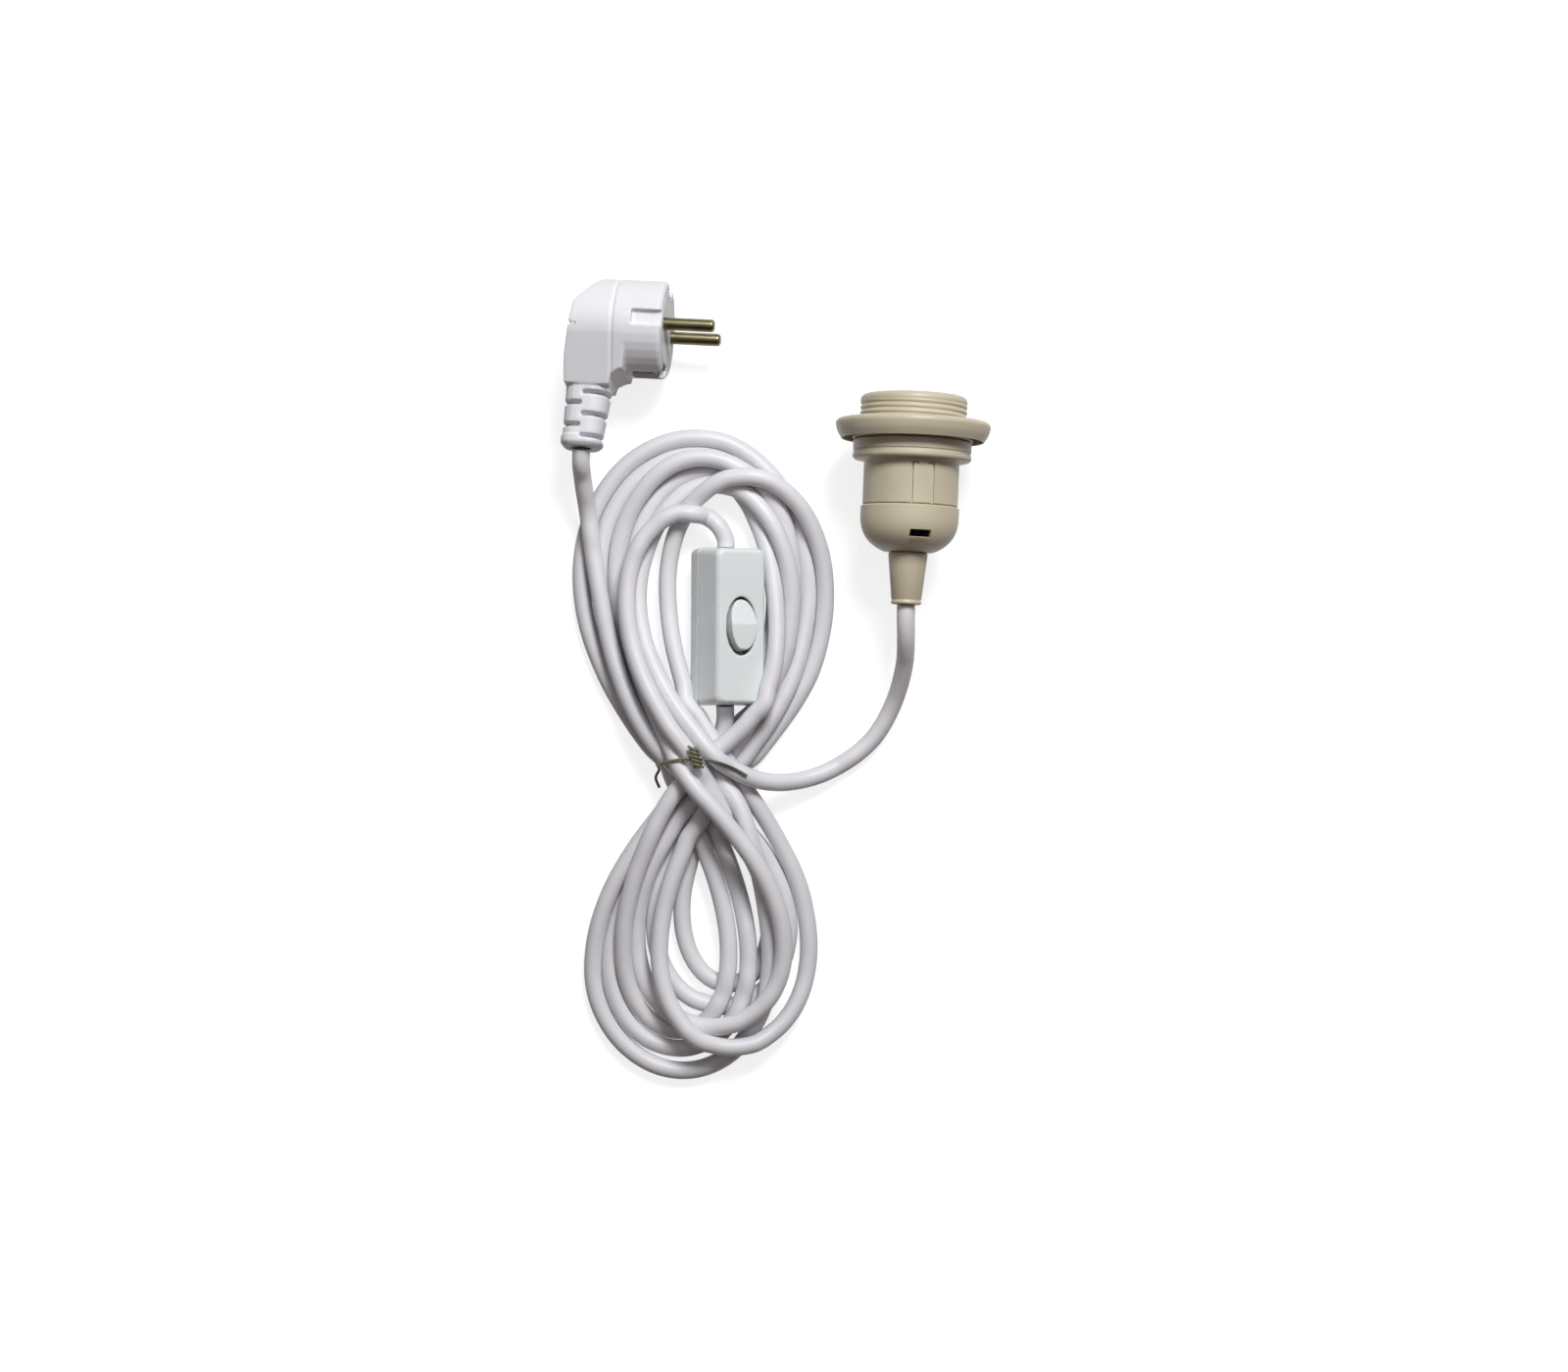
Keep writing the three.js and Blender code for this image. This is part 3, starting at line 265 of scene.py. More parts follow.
# A turn of a lobe. Its two sides, its far point, where it is widest and its layer when it is laid down.
# Then the place and layer in the neck of the strand that leads into it, and its right side at the gate.
Turn = namedtuple("Turn", "left right far widest layer slot slot_layer gate")
UPPER_TURNS = {
    "under": Turn(-117, -47, (-83, 17), -31, 0, -86.8, 7, -56.4),
    "outer": Turn(-124, -37.8, (-81, 22.2), -31, 1, -86.5, 3, -49.6),
    "second": Turn(-110.3, -44, (-83, 17.3), -30, 2, -79.4, 10, -53),
    "third": Turn(-104.8, -48.2, (-73, 14.2), -30, 3, -72.4, 11, -54.4),
    "inner": Turn(-103, -45.6, (-70, 8.5), -38, 4, -66, 14, -52),
    "crossing": Turn(-90.8, -32.3, (-61, 10.3), -28, 5, -63.5, 9, -49),
}
LOWER_TURNS = {
    "slack": Turn(-93, -37, (-60, -200), -160, 0, -69.3, 0, None),
    "short": Turn(-81, -44, (-60, -192), -160, 1, -61.8, 1, None),
    "outer": Turn(-111.5, -45, (-77, -222.3), -180, 2, -72.6, 4, None),
    "second": Turn(-107.5, -52.5, (-80, -213.5), -183, 3, -77.4, 2, None),
    "third": Turn(-103.5, -60, (-81, -208), -184, 4, -80.4, 5, None),
    "fourth": Turn(-98, -38.5, (-70, -204), -176, 5, -70.4, 8, None),
    "crossing": Turn(-88.2, -30, (-57, -210.7), -176, 6, -65, 6, None),
}
SWITCH_STRAND = Turn(-106, None, (None, 0), -38, 6, -79.6, 13, None)
PLUG_STRAND = Turn(-114.5, None, (None, 0), -40, 6, -87.6, 12, None)

# The turns that each cord runs through, from the lamp holder and from the switch
LAMP_CORD_TURNS = [
    UPPER_TURNS["inner"],
    LOWER_TURNS["second"],
    UPPER_TURNS["outer"],
    LOWER_TURNS["crossing"],
    UPPER_TURNS["crossing"],
    LOWER_TURNS["short"],
]
PLUG_CORD_TURNS = [
    LOWER_TURNS["outer"],
    UPPER_TURNS["third"],
    LOWER_TURNS["third"],
    UPPER_TURNS["under"],
    LOWER_TURNS["fourth"],
    UPPER_TURNS["second"],
    LOWER_TURNS["slack"],
]
QUARTER_STEPS = 5
CURVE_STEPS = 16

# Laying the cords down
SKIPPED_POINTS = 5
STRAND_GAP = 0.08
NEAR_MARGIN = 3
PUSH_RATE = 0.8
PUSHES = 3
LAYER_STEP = 0.4
SETTLE_ROUNDS = 360
HELD_POINTS = [(28, 6), (4, 4)]
SINK_STEP = 0.1
HOLD_RATE = 0.08
SPREAD_RATE = 0.5
STIFFNESS_RATE = 0.055
STIFFNESS_STRIDES = (1, 3, 6)
NEAR_EVERY = 4
SOLIDS_NEAR_CORD = ["switch_base", "switch_cover", "plug_body"]


def metres(points):
    """Points in millimetres as Vectors in metres."""
    return [Vector(p) * MM for p in points]


def placing(place, turn):
    """The matrix that takes a point of a tilted piece to the part's frame."""
    return Matrix.Translation(place) @ Euler(turn, "XYZ").to_matrix().to_4x4()


plug_placing = placing(PLUG_PLACE, PLUG_TURN)
switch_placing = placing(SWITCH_PLACE, SWITCH_TURN)
off_plug = plug_placing.inverted()
off_switch = switch_placing.inverted()


def on_plug(x, y, z):
    return tuple(plug_placing @ Vector((x, y, z)))


def on_switch(x, y, z):
    return tuple(switch_placing @ Vector((x, y, z)))


# Camera, floor and light


def camera():
    data = bpy.data.cameras.new("camera")
    data.sensor_fit = "HORIZONTAL"
    data.sensor_width = SENSOR_WIDTH
    data.lens = SENSOR_WIDTH * FOCAL_PIXELS / PHOTO_WIDTH
    data.clip_start, data.clip_end = CAMERA_CLIP
    eye = bpy.data.objects.new("camera", data)
    eye.location = metres([CAMERA_PLACE])[0]
    eye.rotation_euler = (0, 0, CAMERA_ROLL)
    bpy.context.scene.collection.objects.link(eye)
    bpy.context.scene.camera = eye


def floor():
    """A white floor. It gives back less light than it shows, so that undersides stay dark."""
    bpy.ops.mesh.primitive_plane_add(size=FLOOR_SIZE, location=(0, 0, 0))
    ground = bpy.context.object
    ground.name = "floor"
    material, nodes, links, shader = new_material("floor")
    seen = nodes.new("ShaderNodeLightPath")
    plain = nodes.new("ShaderNodeMath")
    plain.operation = "ADD"
    plain.use_clamp = True
    mirrored = nodes.new("ShaderNodeMath")
    mirrored.operation = "ADD"
    mirrored.use_clamp = True
    links.new(seen.outputs["Is Camera Ray"], plain.inputs[0])
    links.new(seen.outputs["Is Glossy Ray"], plain.inputs[1])
    links.new(plain.outputs[0], mirrored.inputs[0])
    links.new(seen.outputs["Is Transmission Ray"], mirrored.inputs[1])
    shown = nodes.new("ShaderNodeMixShader")
    glow = nodes.new("ShaderNodeEmission")
    glow.inputs["Strength"].default_value = FLOOR_GLOW
    lit = nodes.new("ShaderNodeAddShader")
    dim = nodes.new("ShaderNodeBsdfDiffuse")
    dim.inputs["Color"].default_value = (*FLOOR_BOUNCE, 1)
    shader.inputs["Base Color"].default_value = (*FLOOR_COLOUR, 1)
    shader.inputs["Roughness"].default_value = FLOOR_ROUGHNESS
    shader.inputs["Specular IOR Level"].default_value = FLOOR_SPECULAR
    links.new(shader.outputs[0], lit.inputs[0])
    links.new(glow.outputs[0], lit.inputs[1])
    links.new(mirrored.outputs[0], shown.inputs[0])
    links.new(dim.outputs[0], shown.inputs[1])
    links.new(lit.outputs[0], shown.inputs[2])
    links.new(shown.outputs[0], nodes["Material Output"].inputs["Surface"])
    ground.data.materials.append(material)


def backdrop():
    """A pale wall far round the floor. Only the camera sees it, so it sheds no light on the object."""
    bpy.ops.mesh.primitive_cylinder_add(
        radius=BACKDROP_RADIUS,
        depth=BACKDROP_HEIGHT,
        end_fill_type="NOTHING",
    )
    wall = bpy.context.object
    wall.name = "backdrop"
    material, nodes, links, shader = new_material("backdrop")
    glow = nodes.new("ShaderNodeEmission")
    glow.inputs["Strength"].default_value = BACKDROP_GLOW
    links.new(glow.outputs[0], nodes["Material Output"].inputs["Surface"])
    wall.data.materials.append(material)
    wall.visible_diffuse = False
    wall.visible_glossy = False
    wall.visible_transmission = False
    wall.visible_shadow = False


def new_material(name):
    material = bpy.data.materials.new(name)
    material.use_nodes = True
    nodes = material.node_tree.nodes
    return material, nodes, material.node_tree.links, nodes["Principled BSDF"]


def world():
    """A soft tent: bright above and at the upper right, dark at the left, dim and warm below the view."""
    sky = bpy.data.worlds.new("sky")
    sky.use_nodes = True
    nodes, links = sky.node_tree.nodes, sky.node_tree.links
    way = nodes.new("ShaderNodeTexCoord")
    previous = None
    for direction, low, high, dark in SKY_SIDES:
        side = nodes.new("ShaderNodeVectorMath")
        side.operation = "DOT_PRODUCT"
        side.inputs[1].default_value = direction
        links.new(way.outputs["Generated"], side.inputs[0])
        share = nodes.new("ShaderNodeMapRange")
        share.interpolation_type = "SMOOTHSTEP"
        share.inputs["From Min"].default_value = low
        share.inputs["From Max"].default_value = high
        links.new(side.outputs["Value"], share.inputs["Value"])
        mix = nodes.new("ShaderNodeMix")
        mix.data_type = "RGBA"
        mix.inputs["A"].default_value = (*SKY_COLOUR, 1)
        mix.inputs["B"].default_value = (*dark, 1)
        if previous:
            links.new(previous.outputs["Result"], mix.inputs["A"])
        links.new(share.outputs["Result"], mix.inputs["Factor"])
        previous = mix
    background = nodes["Background"]
    links.new(previous.outputs["Result"], background.inputs["Color"])
    background.inputs["Strength"].default_value = SKY_STRENGTH
    bpy.context.scene.world = sky


def area_light(name, place, aim, size, energy):
    data = bpy.data.lights.new(name, "AREA")
    data.size = size
    data.energy = energy
    lamp = bpy.data.objects.new(name, data)
    lamp.location = place
    lamp.rotation_euler = (Vector(aim) - Vector(place)).to_track_quat("-Z", "Y").to_euler()
    bpy.context.scene.collection.objects.link(lamp)


# Materials: smooth mottling of the colour, and a fine grain in the gloss and the surface


def noise(nodes, links, scale, detail):
    place = nodes.new("ShaderNodeTexCoord")
    texture = nodes.new("ShaderNodeTexNoise")
    texture.inputs["Scale"].default_value = scale
    texture.inputs["Detail"].default_value = detail
    links.new(place.outputs["Object"], texture.inputs["Vector"])
    return texture


def mottled(nodes, links, texture, first, second):
    """A colour that drifts between two tones over the surface."""
    tones = nodes.new("ShaderNodeValToRGB")
    for element, position, colour in zip(tones.color_ramp.elements, MOTTLING_BLEND, (first, second)):
        element.position = position
        element.color = (*colour, 1)
    links.new(texture.outputs["Fac"], tones.inputs["Fac"])
    return tones.outputs["Color"]


def ranged(nodes, links, texture, low, high):
    """A texture's value taken to a range."""
    scaled = nodes.new("ShaderNodeMapRange")
    scaled.inputs["To Min"].default_value = low
    scaled.inputs["To Max"].default_value = high
    links.new(texture.outputs["Fac"], scaled.inputs["Value"])
    return scaled.outputs["Result"]


def bumpy(nodes, links, texture, shader, depth):
    bump = nodes.new("ShaderNodeBump")
    bump.inputs["Distance"].default_value = depth * MM
    bump.inputs["Strength"].default_value = BUMP_STRENGTH
    links.new(texture.outputs["Fac"], bump.inputs["Height"])
    links.new(bump.outputs["Normal"], shader.inputs["Normal"])


def surface(name, tones, roughness, grain, mottling, graining, gloss):
    """A material in two close tones, with a fine grain in its gloss and in its surface."""
    material, nodes, links, shader = new_material(name)
    broad = noise(nodes, links, *mottling)
    fine = noise(nodes, links, *graining)
    low, high = (roughness + change for change in gloss)
    links.new(mottled(nodes, links, broad, *tones), shader.inputs["Base Color"])
    links.new(ranged(nodes, links, fine, low, high), shader.inputs["Roughness"])
    bumpy(nodes, links, fine, shader, grain)
    return material, shader


def plastic(name, first, second, roughness, grain):
    """Moulded plastic. grain is the depth of its surface."""
    looks = (PLASTIC_MOTTLING, PLASTIC_GRAIN, PLASTIC_GLOSS)
    material, shader = surface(name, (first, second), roughness, grain, *looks)
    shader.inputs["IOR"].default_value = PLASTIC_IOR
    return material


def metal(name, first, second, roughness, grain):
    """Drawn or plated metal, with matt patches and fine draw marks."""
    looks = (METAL_MOTTLING, METAL_GRAIN, METAL_GLOSS)
    material, shader = surface(name, (first, second), roughness, grain, *looks)
    shader.inputs["Metallic"].default_value = 1
    return material


def slot_materials():
    """One material for each of the record's slots, and a near-black one for the earth contacts, which
    paints the shade in their pockets.
    """
    return {
        "ivory_plastic": plastic("ivory", (0.52, 0.47, 0.35), (0.57, 0.51, 0.38), 0.42, 0.02),
        "white_pvc": plastic("white_pvc", (0.7, 0.71, 0.76), (0.75, 0.75, 0.78), 0.5, 0.05),
        "cool_white_plastic": plastic("cool_white", (0.68, 0.73, 0.74), (0.73, 0.76, 0.765), 0.38, 0.02),
        "cord_pvc": plastic("cord_pvc", (0.68, 0.68, 0.72), (0.74, 0.73, 0.76), 0.44, 0.04),
        "insulator": plastic("insulator", (0.68, 0.65, 0.55), (0.74, 0.7, 0.6), 0.3, 0.02),
        "brass": metal("brass", (0.6, 0.45, 0.2), (0.68, 0.52, 0.25), 0.32, 0.01),
        "nickel_plate": metal("nickel", (0.17, 0.16, 0.09), (0.23, 0.21, 0.12), 0.34, 0.01),
        # Near-black nickel for the earth clips: painted shade, standing in for the dark of the pockets that
        # they line
        "pocket_shade_nickel": metal("pocket_shade_nickel", (0.03, 0.03, 0.025), (0.06, 0.055, 0.045), 0.5, 0.02),
        "steel": metal("steel", (0.46, 0.47, 0.48), (0.55, 0.55, 0.55), 0.34, 0.01),
        "core_brown": plastic("core_brown", (0.1, 0.035, 0.018), (0.13, 0.05, 0.025), 0.45, 0.03),
        "core_blue": plastic("core_blue", (0.02, 0.08, 0.32), (0.03, 0.11, 0.38), 0.45, 0.03),
        "tie_plastic": plastic("tie", (0.05, 0.055, 0.04), (0.22, 0.23, 0.12), 0.5, 0.03),
    }


def dress_nodes():
    """Gives every CAD node its slot's material, and the earth clips a near-black one that paints the shade
    of their pockets.
    """
    for part in frame["record"]["subparts"]:
        mesh = frame["nodes"][part["node"]].data
        mesh.materials.clear()
        # The earth clips get the near-black nickel, which paints the shade of their pockets
        pocket_in_shade = part["node"].startswith("earth_clip")
        mesh.materials.append(materials["pocket_shade_nickel" if pocket_in_shade else part["material_slot"]])


def dress(piece, body, slot, *nodes):
    """A new piece's material, the body that it rides on and the nodes that it stands for."""
    piece.data.materials.clear()
    piece.data.materials.append(materials[slot])
    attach(piece, body)
    if nodes:
        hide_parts(*nodes)


# Turned pieces of the lamp holder


def arc(centre, radius, start, end, steps):
    """Points of an arc in a section, as radius and station, by its angles in degrees."""
    across, along = centre
    angles = [math.radians(start + (end - start) * i / steps) for i in range(steps + 1)]
    return [(across + radius * math.cos(a), along - radius * math.sin(a)) for a in angles]


def turned(name, section, segments=TURN_SEGMENTS, shape=None):
    """A closed section of radius and station, turned about the lamp holder's axis."""
    grid = bmesh.new()
    rings = []
    for i in range(segments):
        angle = 2 * math.pi * i / segments
        ring = []
        for radius, station in section:
            r = shape(radius, station, angle) if shape else radius
            place = (r * math.cos(angle), MOUTH_Y - station, AXIS_HEIGHT + r * math.sin(angle))
            ring.append(grid.verts.new(Vector(place) * MM))
        rings.append(ring)
    for ring, following in zip(rings, [*rings[1:], rings[0]]):
        for i in range(len(section)):
            j = (i + 1) % len(section)
            grid.faces.new((ring[i], ring[j], following[j], following[i]))
    bmesh.ops.recalc_face_normals(grid, faces=grid.faces)
    return new_piece(name, grid)


def new_piece(name, grid, sharp=SHARP_ANGLE):
    """A bmesh as an object, smooth apart from its sharp edges."""
    mesh = bpy.data.meshes.new(name)
    grid.to_mesh(mesh)
    grid.free()
    piece = bpy.data.objects.new(name, mesh)
    bpy.context.scene.collection.objects.link(piece)
    mesh.shade_smooth()
    mesh.set_sharp_from_angle(angle=math.radians(sharp))
    return piece


def cutter(low, high, turn):
    """A box between two corners in millimetres, which is only there to cut."""
    grid = bmesh.new()
    bmesh.ops.create_cube(grid, size=1)
    for v in grid.verts:
        v.co = Vector([(a + b) / 2 + (b - a) * c for a, b, c in zip(low, high, v.co)]) * MM
    bmesh.ops.transform(grid, matrix=turn, verts=grid.verts)
    return new_piece("cutter", grid)


def carve(piece, tools):
    """Cuts the tools out of a piece and deletes them."""
    for tool in tools:
        change = piece.modifiers.new("carve", "BOOLEAN")
        change.operation = "DIFFERENCE"
        change.solver = "EXACT"
        change.object = tool
    apply_changes(piece)
    for tool in tools:
        bpy.data.objects.remove(tool)
    piece.data.set_sharp_from_angle(angle=math.radians(SHARP_ANGLE))


def apply_changes(piece):
    """Puts a piece's modifiers into its mesh."""
    shaped = piece.evaluated_get(bpy.context.evaluated_depsgraph_get())
    mesh = bpy.data.meshes.new_from_object(shaped)
    piece.modifiers.clear()
    piece.data = mesh


def holder_turn(side):
    """The turn about the lamp holder's axis for its two like sides."""
    centre = Vector((0, 0, AXIS_HEIGHT)) * MM
    turn = Matrix.Rotation(HOLDER_ROLL + side * math.pi, 4, "Y")
    return Matrix.Translation(centre) @ turn @ Matrix.Translation(-centre)


def thread(radius, station, angle):
    """Lowers the outer wall to a helical thread between its first and last turn."""
    if radius < THREAD_RADIUS - 0.01 or not THREAD_FROM <= station <= THREAD_TO:
        return radius
    phase = 2 * math.pi * station / THREAD_PITCH + angle
    ends = min(station - THREAD_FROM, THREAD_TO - station, 1)
    return radius - THREAD_DEPTH * ends * (0.5 - 0.5 * math.cos(phase)) ** 1.5


def threaded_skirt():
    steps = round((THREAD_TO - THREAD_FROM) / THREAD_STEP)
    wall = [(THREAD_RADIUS, THREAD_FROM + i * THREAD_STEP) for i in range(steps + 1)]
    lip_end = BODY_START - LIP_FROM_BODY
    section = [
        (BORE_RADIUS, 0.6),
        (BORE_RADIUS + 0.6, 0),
        *arc((THREAD_RADIUS - MOUTH_ROUND, MOUTH_ROUND), MOUTH_ROUND, 90, 0, 8),
        *wall,
        (THREAD_RADIUS - THREAD_DEPTH, THREAD_TO + 0.3),
        (THREAD_RADIUS - THREAD_DEPTH, SHOULDER_START),
        (SHOULDER_RADIUS - 0.4, SHOULDER_START),
        (SHOULDER_RADIUS, SHOULDER_START + 0.4),
        (SHOULDER_RADIUS - 0.1, SHOULDER_LIP - 0.5),
        (SHOULDER_RADIUS - LIP_GROOVE, SHOULDER_LIP - 0.2),
        (SHOULDER_RADIUS - LIP_GROOVE, SHOULDER_LIP + 0.1),
        (SHOULDER_RADIUS - 0.2, SHOULDER_LIP + 0.4),
        *arc((SHOULDER_RADIUS - LIP_ROUND, lip_end), LIP_ROUND, 0, -70, 5),
        *arc((BODY_RADIUS + BODY_FILLET, BODY_START + FILLET_FROM_BODY), BODY_FILLET, 110, 180, 5),
        (BODY_RADIUS, SEAM - SEAM_GAP - 0.25),
        (BODY_RADIUS - 0.25, SEAM - SEAM_GAP),
        (SPIGOT_RADIUS, SEAM - SEAM_GAP),
        (SPIGOT_RADIUS, SPIGOT_END),
        (BORE_RADIUS, SPIGOT_END),
    ]
    skirt = turned("threaded_skirt_moulding", section, shape=thread)
    carve(skirt, tongue_cuts())
    dress(skirt, "set", "ivory_plastic", "threaded_skirt")


def tongue_cuts():
    """The slit along each side of the two latch tongues, and the notch at its root."""
    notch_width, notch_height = NOTCH_SIZE
    start, end = MOUTH_Y - SEAM - 1, MOUTH_Y - BODY_START - TONGUE_ROOT
    top = AXIS_HEIGHT + BODY_RADIUS + TONGUE_CUT_MARGIN
    bottom = top - TONGUE_CUT_DEPTH
    cuts = []
    for side in range(2):
        turn = holder_turn(side)
        for edge in (-1, 1):
            middle = edge * TONGUE_WIDTH / 2
            left, right = middle - TONGUE_SLIT / 2, middle + TONGUE_SLIT / 2
            cuts.append(cutter((left, start, bottom), (right, end, top), turn))
            left, right = sorted((middle + edge * TONGUE_SLIT / 2, middle - edge * notch_width))
            cuts.append(cutter((left, end - notch_height, bottom), (right, end, top), turn))
    return cuts


def shade_ring():
    hub = RING_BORE + RING_HUB
    inner_rim = RING_RADIUS - RING_RIM
    rim_middle = RING_RADIUS - RING_ROUND
    section = [
        (RING_BORE, RING_FRONT + 0.4),
        (RING_BORE + 0.4, RING_FRONT),
        *arc((rim_middle, RING_FRONT + RING_ROUND), RING_ROUND, 90, 0, 8),
        (RING_RADIUS - 0.15, RING_FRONT + 2.6),
        (RING_RADIUS - 0.5, RING_FRONT + 4),
        (RING_RADIUS - 1.1, RING_FRONT + 5.4),
        (RING_RADIUS - 1.9, RING_FRONT + 6.6),
        (RING_RADIUS - 2.3, RING_BACK),
        *arc((inner_rim + 0.3, RING_BACK - 0.3), 0.3, -90, -180, 3),
        *arc((inner_rim - 1, RING_FRONT + RING_WEB + 1), 1, 0, 90, 4),
        *arc((hub + 1, RING_FRONT + RING_WEB + 1), 1, 90, 180, 4),
        *arc((hub - 0.4, RING_BACK - 0.4), 0.4, 0, -90, 3),
        (RING_BORE, RING_BACK),
    ]
    ring = turned("shade_ring_moulding", section)
    dress(ring, "ring", "ivory_plastic", "shade_ring")


def dome_profile(inset, steps):
    """The dome's curve, moved in by a wall."""
    start = Vector((DOME_RADIUS - inset, SEAM + DOME_STRAIGHT, 0))
    bend = Vector((DOME_RADIUS - inset, DOME_END - DOME_BEND_FROM_END - inset, 0))
    end = Vector((DOME_END_RADIUS - inset / 2, DOME_END - inset, 0))
    points = []
    for i in range(steps + 1):
        t = i / steps
        p = start.lerp(bend, t).lerp(bend.lerp(end, t), t)
        points.append((p.x, p.y))
    return points


def dome_cap():
    section = [
        (DOME_RADIUS - DOME_WALL, SEAM),
        (DOME_RADIUS - 0.5, SEAM),
        (DOME_RADIUS, SEAM + 0.5),
        *dome_profile(0, PROFILE_STEPS),
        (DOME_END_RADIUS - 0.5, DOME_END),
        (NECK_HOLE, DOME_END),
        (NECK_HOLE, DOME_END - DOME_WALL),
        *dome_profile(DOME_WALL, INNER_STEPS)[::-1],
    ]
    dome = turned("dome_moulding", section)
    station = DOME_END - RELEASE_FROM_END
    width, height = RELEASE_SIZE
    y = MOUTH_Y - station
    slots = [
        cutter(
            (-width / 2, y - height / 2, AXIS_HEIGHT + DOME_END_RADIUS),
            (width / 2, y + height / 2, AXIS_HEIGHT + DOME_RADIUS + 1),
            holder_turn(side),
        )
        for side in range(2)
    ]
    carve(dome, slots)
    dress(dome, "set", "ivory_plastic", "dome_cap")
    for side in range(2):
        lip = release_lip(f"release_lip_{side + 1}", holder_turn(side))
        dress(lip, "set", "ivory_plastic")


def release_lip(name, turn):
    """The raised lip under a release slot, which a screwdriver is pressed against."""
    width, height = RELEASE_SIZE
    station = DOME_END - RELEASE_FROM_END + height / 2
    grid = bmesh.new()
    rows = [(0.2, -0.6), (0.25, LIP_RISE), (0.9, LIP_RISE), (2.4, 0.05), (2.4, -0.6)]
    radii, stations = zip(*dome_profile(0, LIP_PROFILE_STEPS))
    levels = []
    for along, rise in rows:
        place = station + along
        radius = np.interp(place, stations, radii)
        level = []
        for i in range(LIP_COLUMNS + 1):
            x = (i / LIP_COLUMNS - 0.5) * width
            ends = min(1, 3 * (1 - abs(2 * i / LIP_COLUMNS - 1)))
            r = radius + (rise * ends if rise > 0 else rise)
            z = AXIS_HEIGHT + math.sqrt(r * r - x * x)
            level.append(grid.verts.new(Vector((x, MOUTH_Y - place, z)) * MM))
        levels.append(level)
    for level, following in zip(levels, [*levels[1:], levels[0]]):
        for i in range(LIP_COLUMNS):
            grid.faces.new((level[i], level[i + 1], following[i + 1], following[i]))
    for end in (0, LIP_COLUMNS):
        grid.faces.new([level[end] for level in levels])
    bmesh.ops.recalc_face_normals(grid, faces=grid.faces)
    bmesh.ops.transform(grid, matrix=turn, verts=grid.verts)
    return new_piece(name, grid, SMALL_PIECE_SHARP_ANGLE)


def grip_nut():
    bead = GRIP_END - 1.6
    section = [
        (NECK_HOLE, GRIP_START),
        (GRIP_RADIUS - 0.5, GRIP_START),
        (GRIP_RADIUS, GRIP_START + 0.5),
        (GRIP_END_RADIUS + 0.15, bead - 0.5),
        (GRIP_END_RADIUS - 0.1, bead - 0.2),
        *arc((GRIP_END_RADIUS - 0.6, GRIP_END - 0.8), 0.8, 35, -90, 8),
        (CORD_HOLE + 0.5, GRIP_END),
        (CORD_HOLE, GRIP_END - 0.6),
        (CORD_HOLE, GRIP_END - 4),
        (NECK_HOLE, GRIP_END - 7),
    ]
    nut = turned("grip_nut_moulding", section, NUT_SEGMENTS)
    dress(nut, "set", "ivory_plastic", "grip_nut")


# Moulded housings: the CAD's forms with their edges rounded


def moulded(name, node, skin, softening, shape=None):
    """A node's form under one fine even skin with soft edges."""
    mesh = frame["nodes"][node].data.copy()
    mesh.name = name
    piece = bpy.data.objects.new(name, mesh)
    bpy.context.scene.collection.objects.link(piece)
    remesh = piece.modifiers.new("skin", "REMESH")
    remesh.mode = "VOXEL"
    remesh.voxel_size = skin * MM
    soften = piece.modifiers.new("soften", "SMOOTH")
    soften.factor = 0.5
    soften.iterations = softening
    apply_changes(piece)
    if shape:
        for v in piece.data.vertices:
            v.co = Vector(shape(*(v.co / MM))) * MM
    piece.data.shade_smooth()
    return piece


def chamfered_back(x, y, z):
    """Leans the plug's upper back forward, as far as its chamfer's top."""
    across, along, up = off_plug @ Vector((x, y, z))
    high = min(1, max(0, (along - BACK_FROM) / (BACK_TOP - BACK_FROM)))
    near_back = min(1, max(0, (BACK_FRONT - across) / (BACK_FRONT - BACK_REAR)))
    groove = 1 - ((across - DISC_REAR) / GROOVE_HALF_WIDTH) ** 2
    radius = math.hypot(along, up)
    if groove > 0 and radius > PIN_SPACING / 2:
        share = 1 - GROOVE_DEPTH * groove / radius
        along, up = along * share, up * share
    notch = 1 - ((along - NOTCH_AT) / GROOVE_HALF_WIDTH) ** 2
    if notch > 0 and across < HANDLE_BACK:
        across += NOTCH_DEPTH * notch
    return on_plug(across + BACK_LEAN * high * near_back, along, up)


def plug():
    body = moulded("plug_moulding", "plug_body", PLUG_SKIN, PLUG_SOFTENING, chamfered_back)
    dress(body, "set", "white_pvc", "plug_body")
    pieces = [body, *(frame["nodes"][node] for node in PLUG_PARTS)]
    for index, side in enumerate((-1, 1)):
        pin = plug_pin(f"plug_pin_turned_{index + 1}", side)
        dress(pin, "set", "nickel_plate", f"plug_pin_{index + 1}")
        pieces.append(pin)
    return pieces


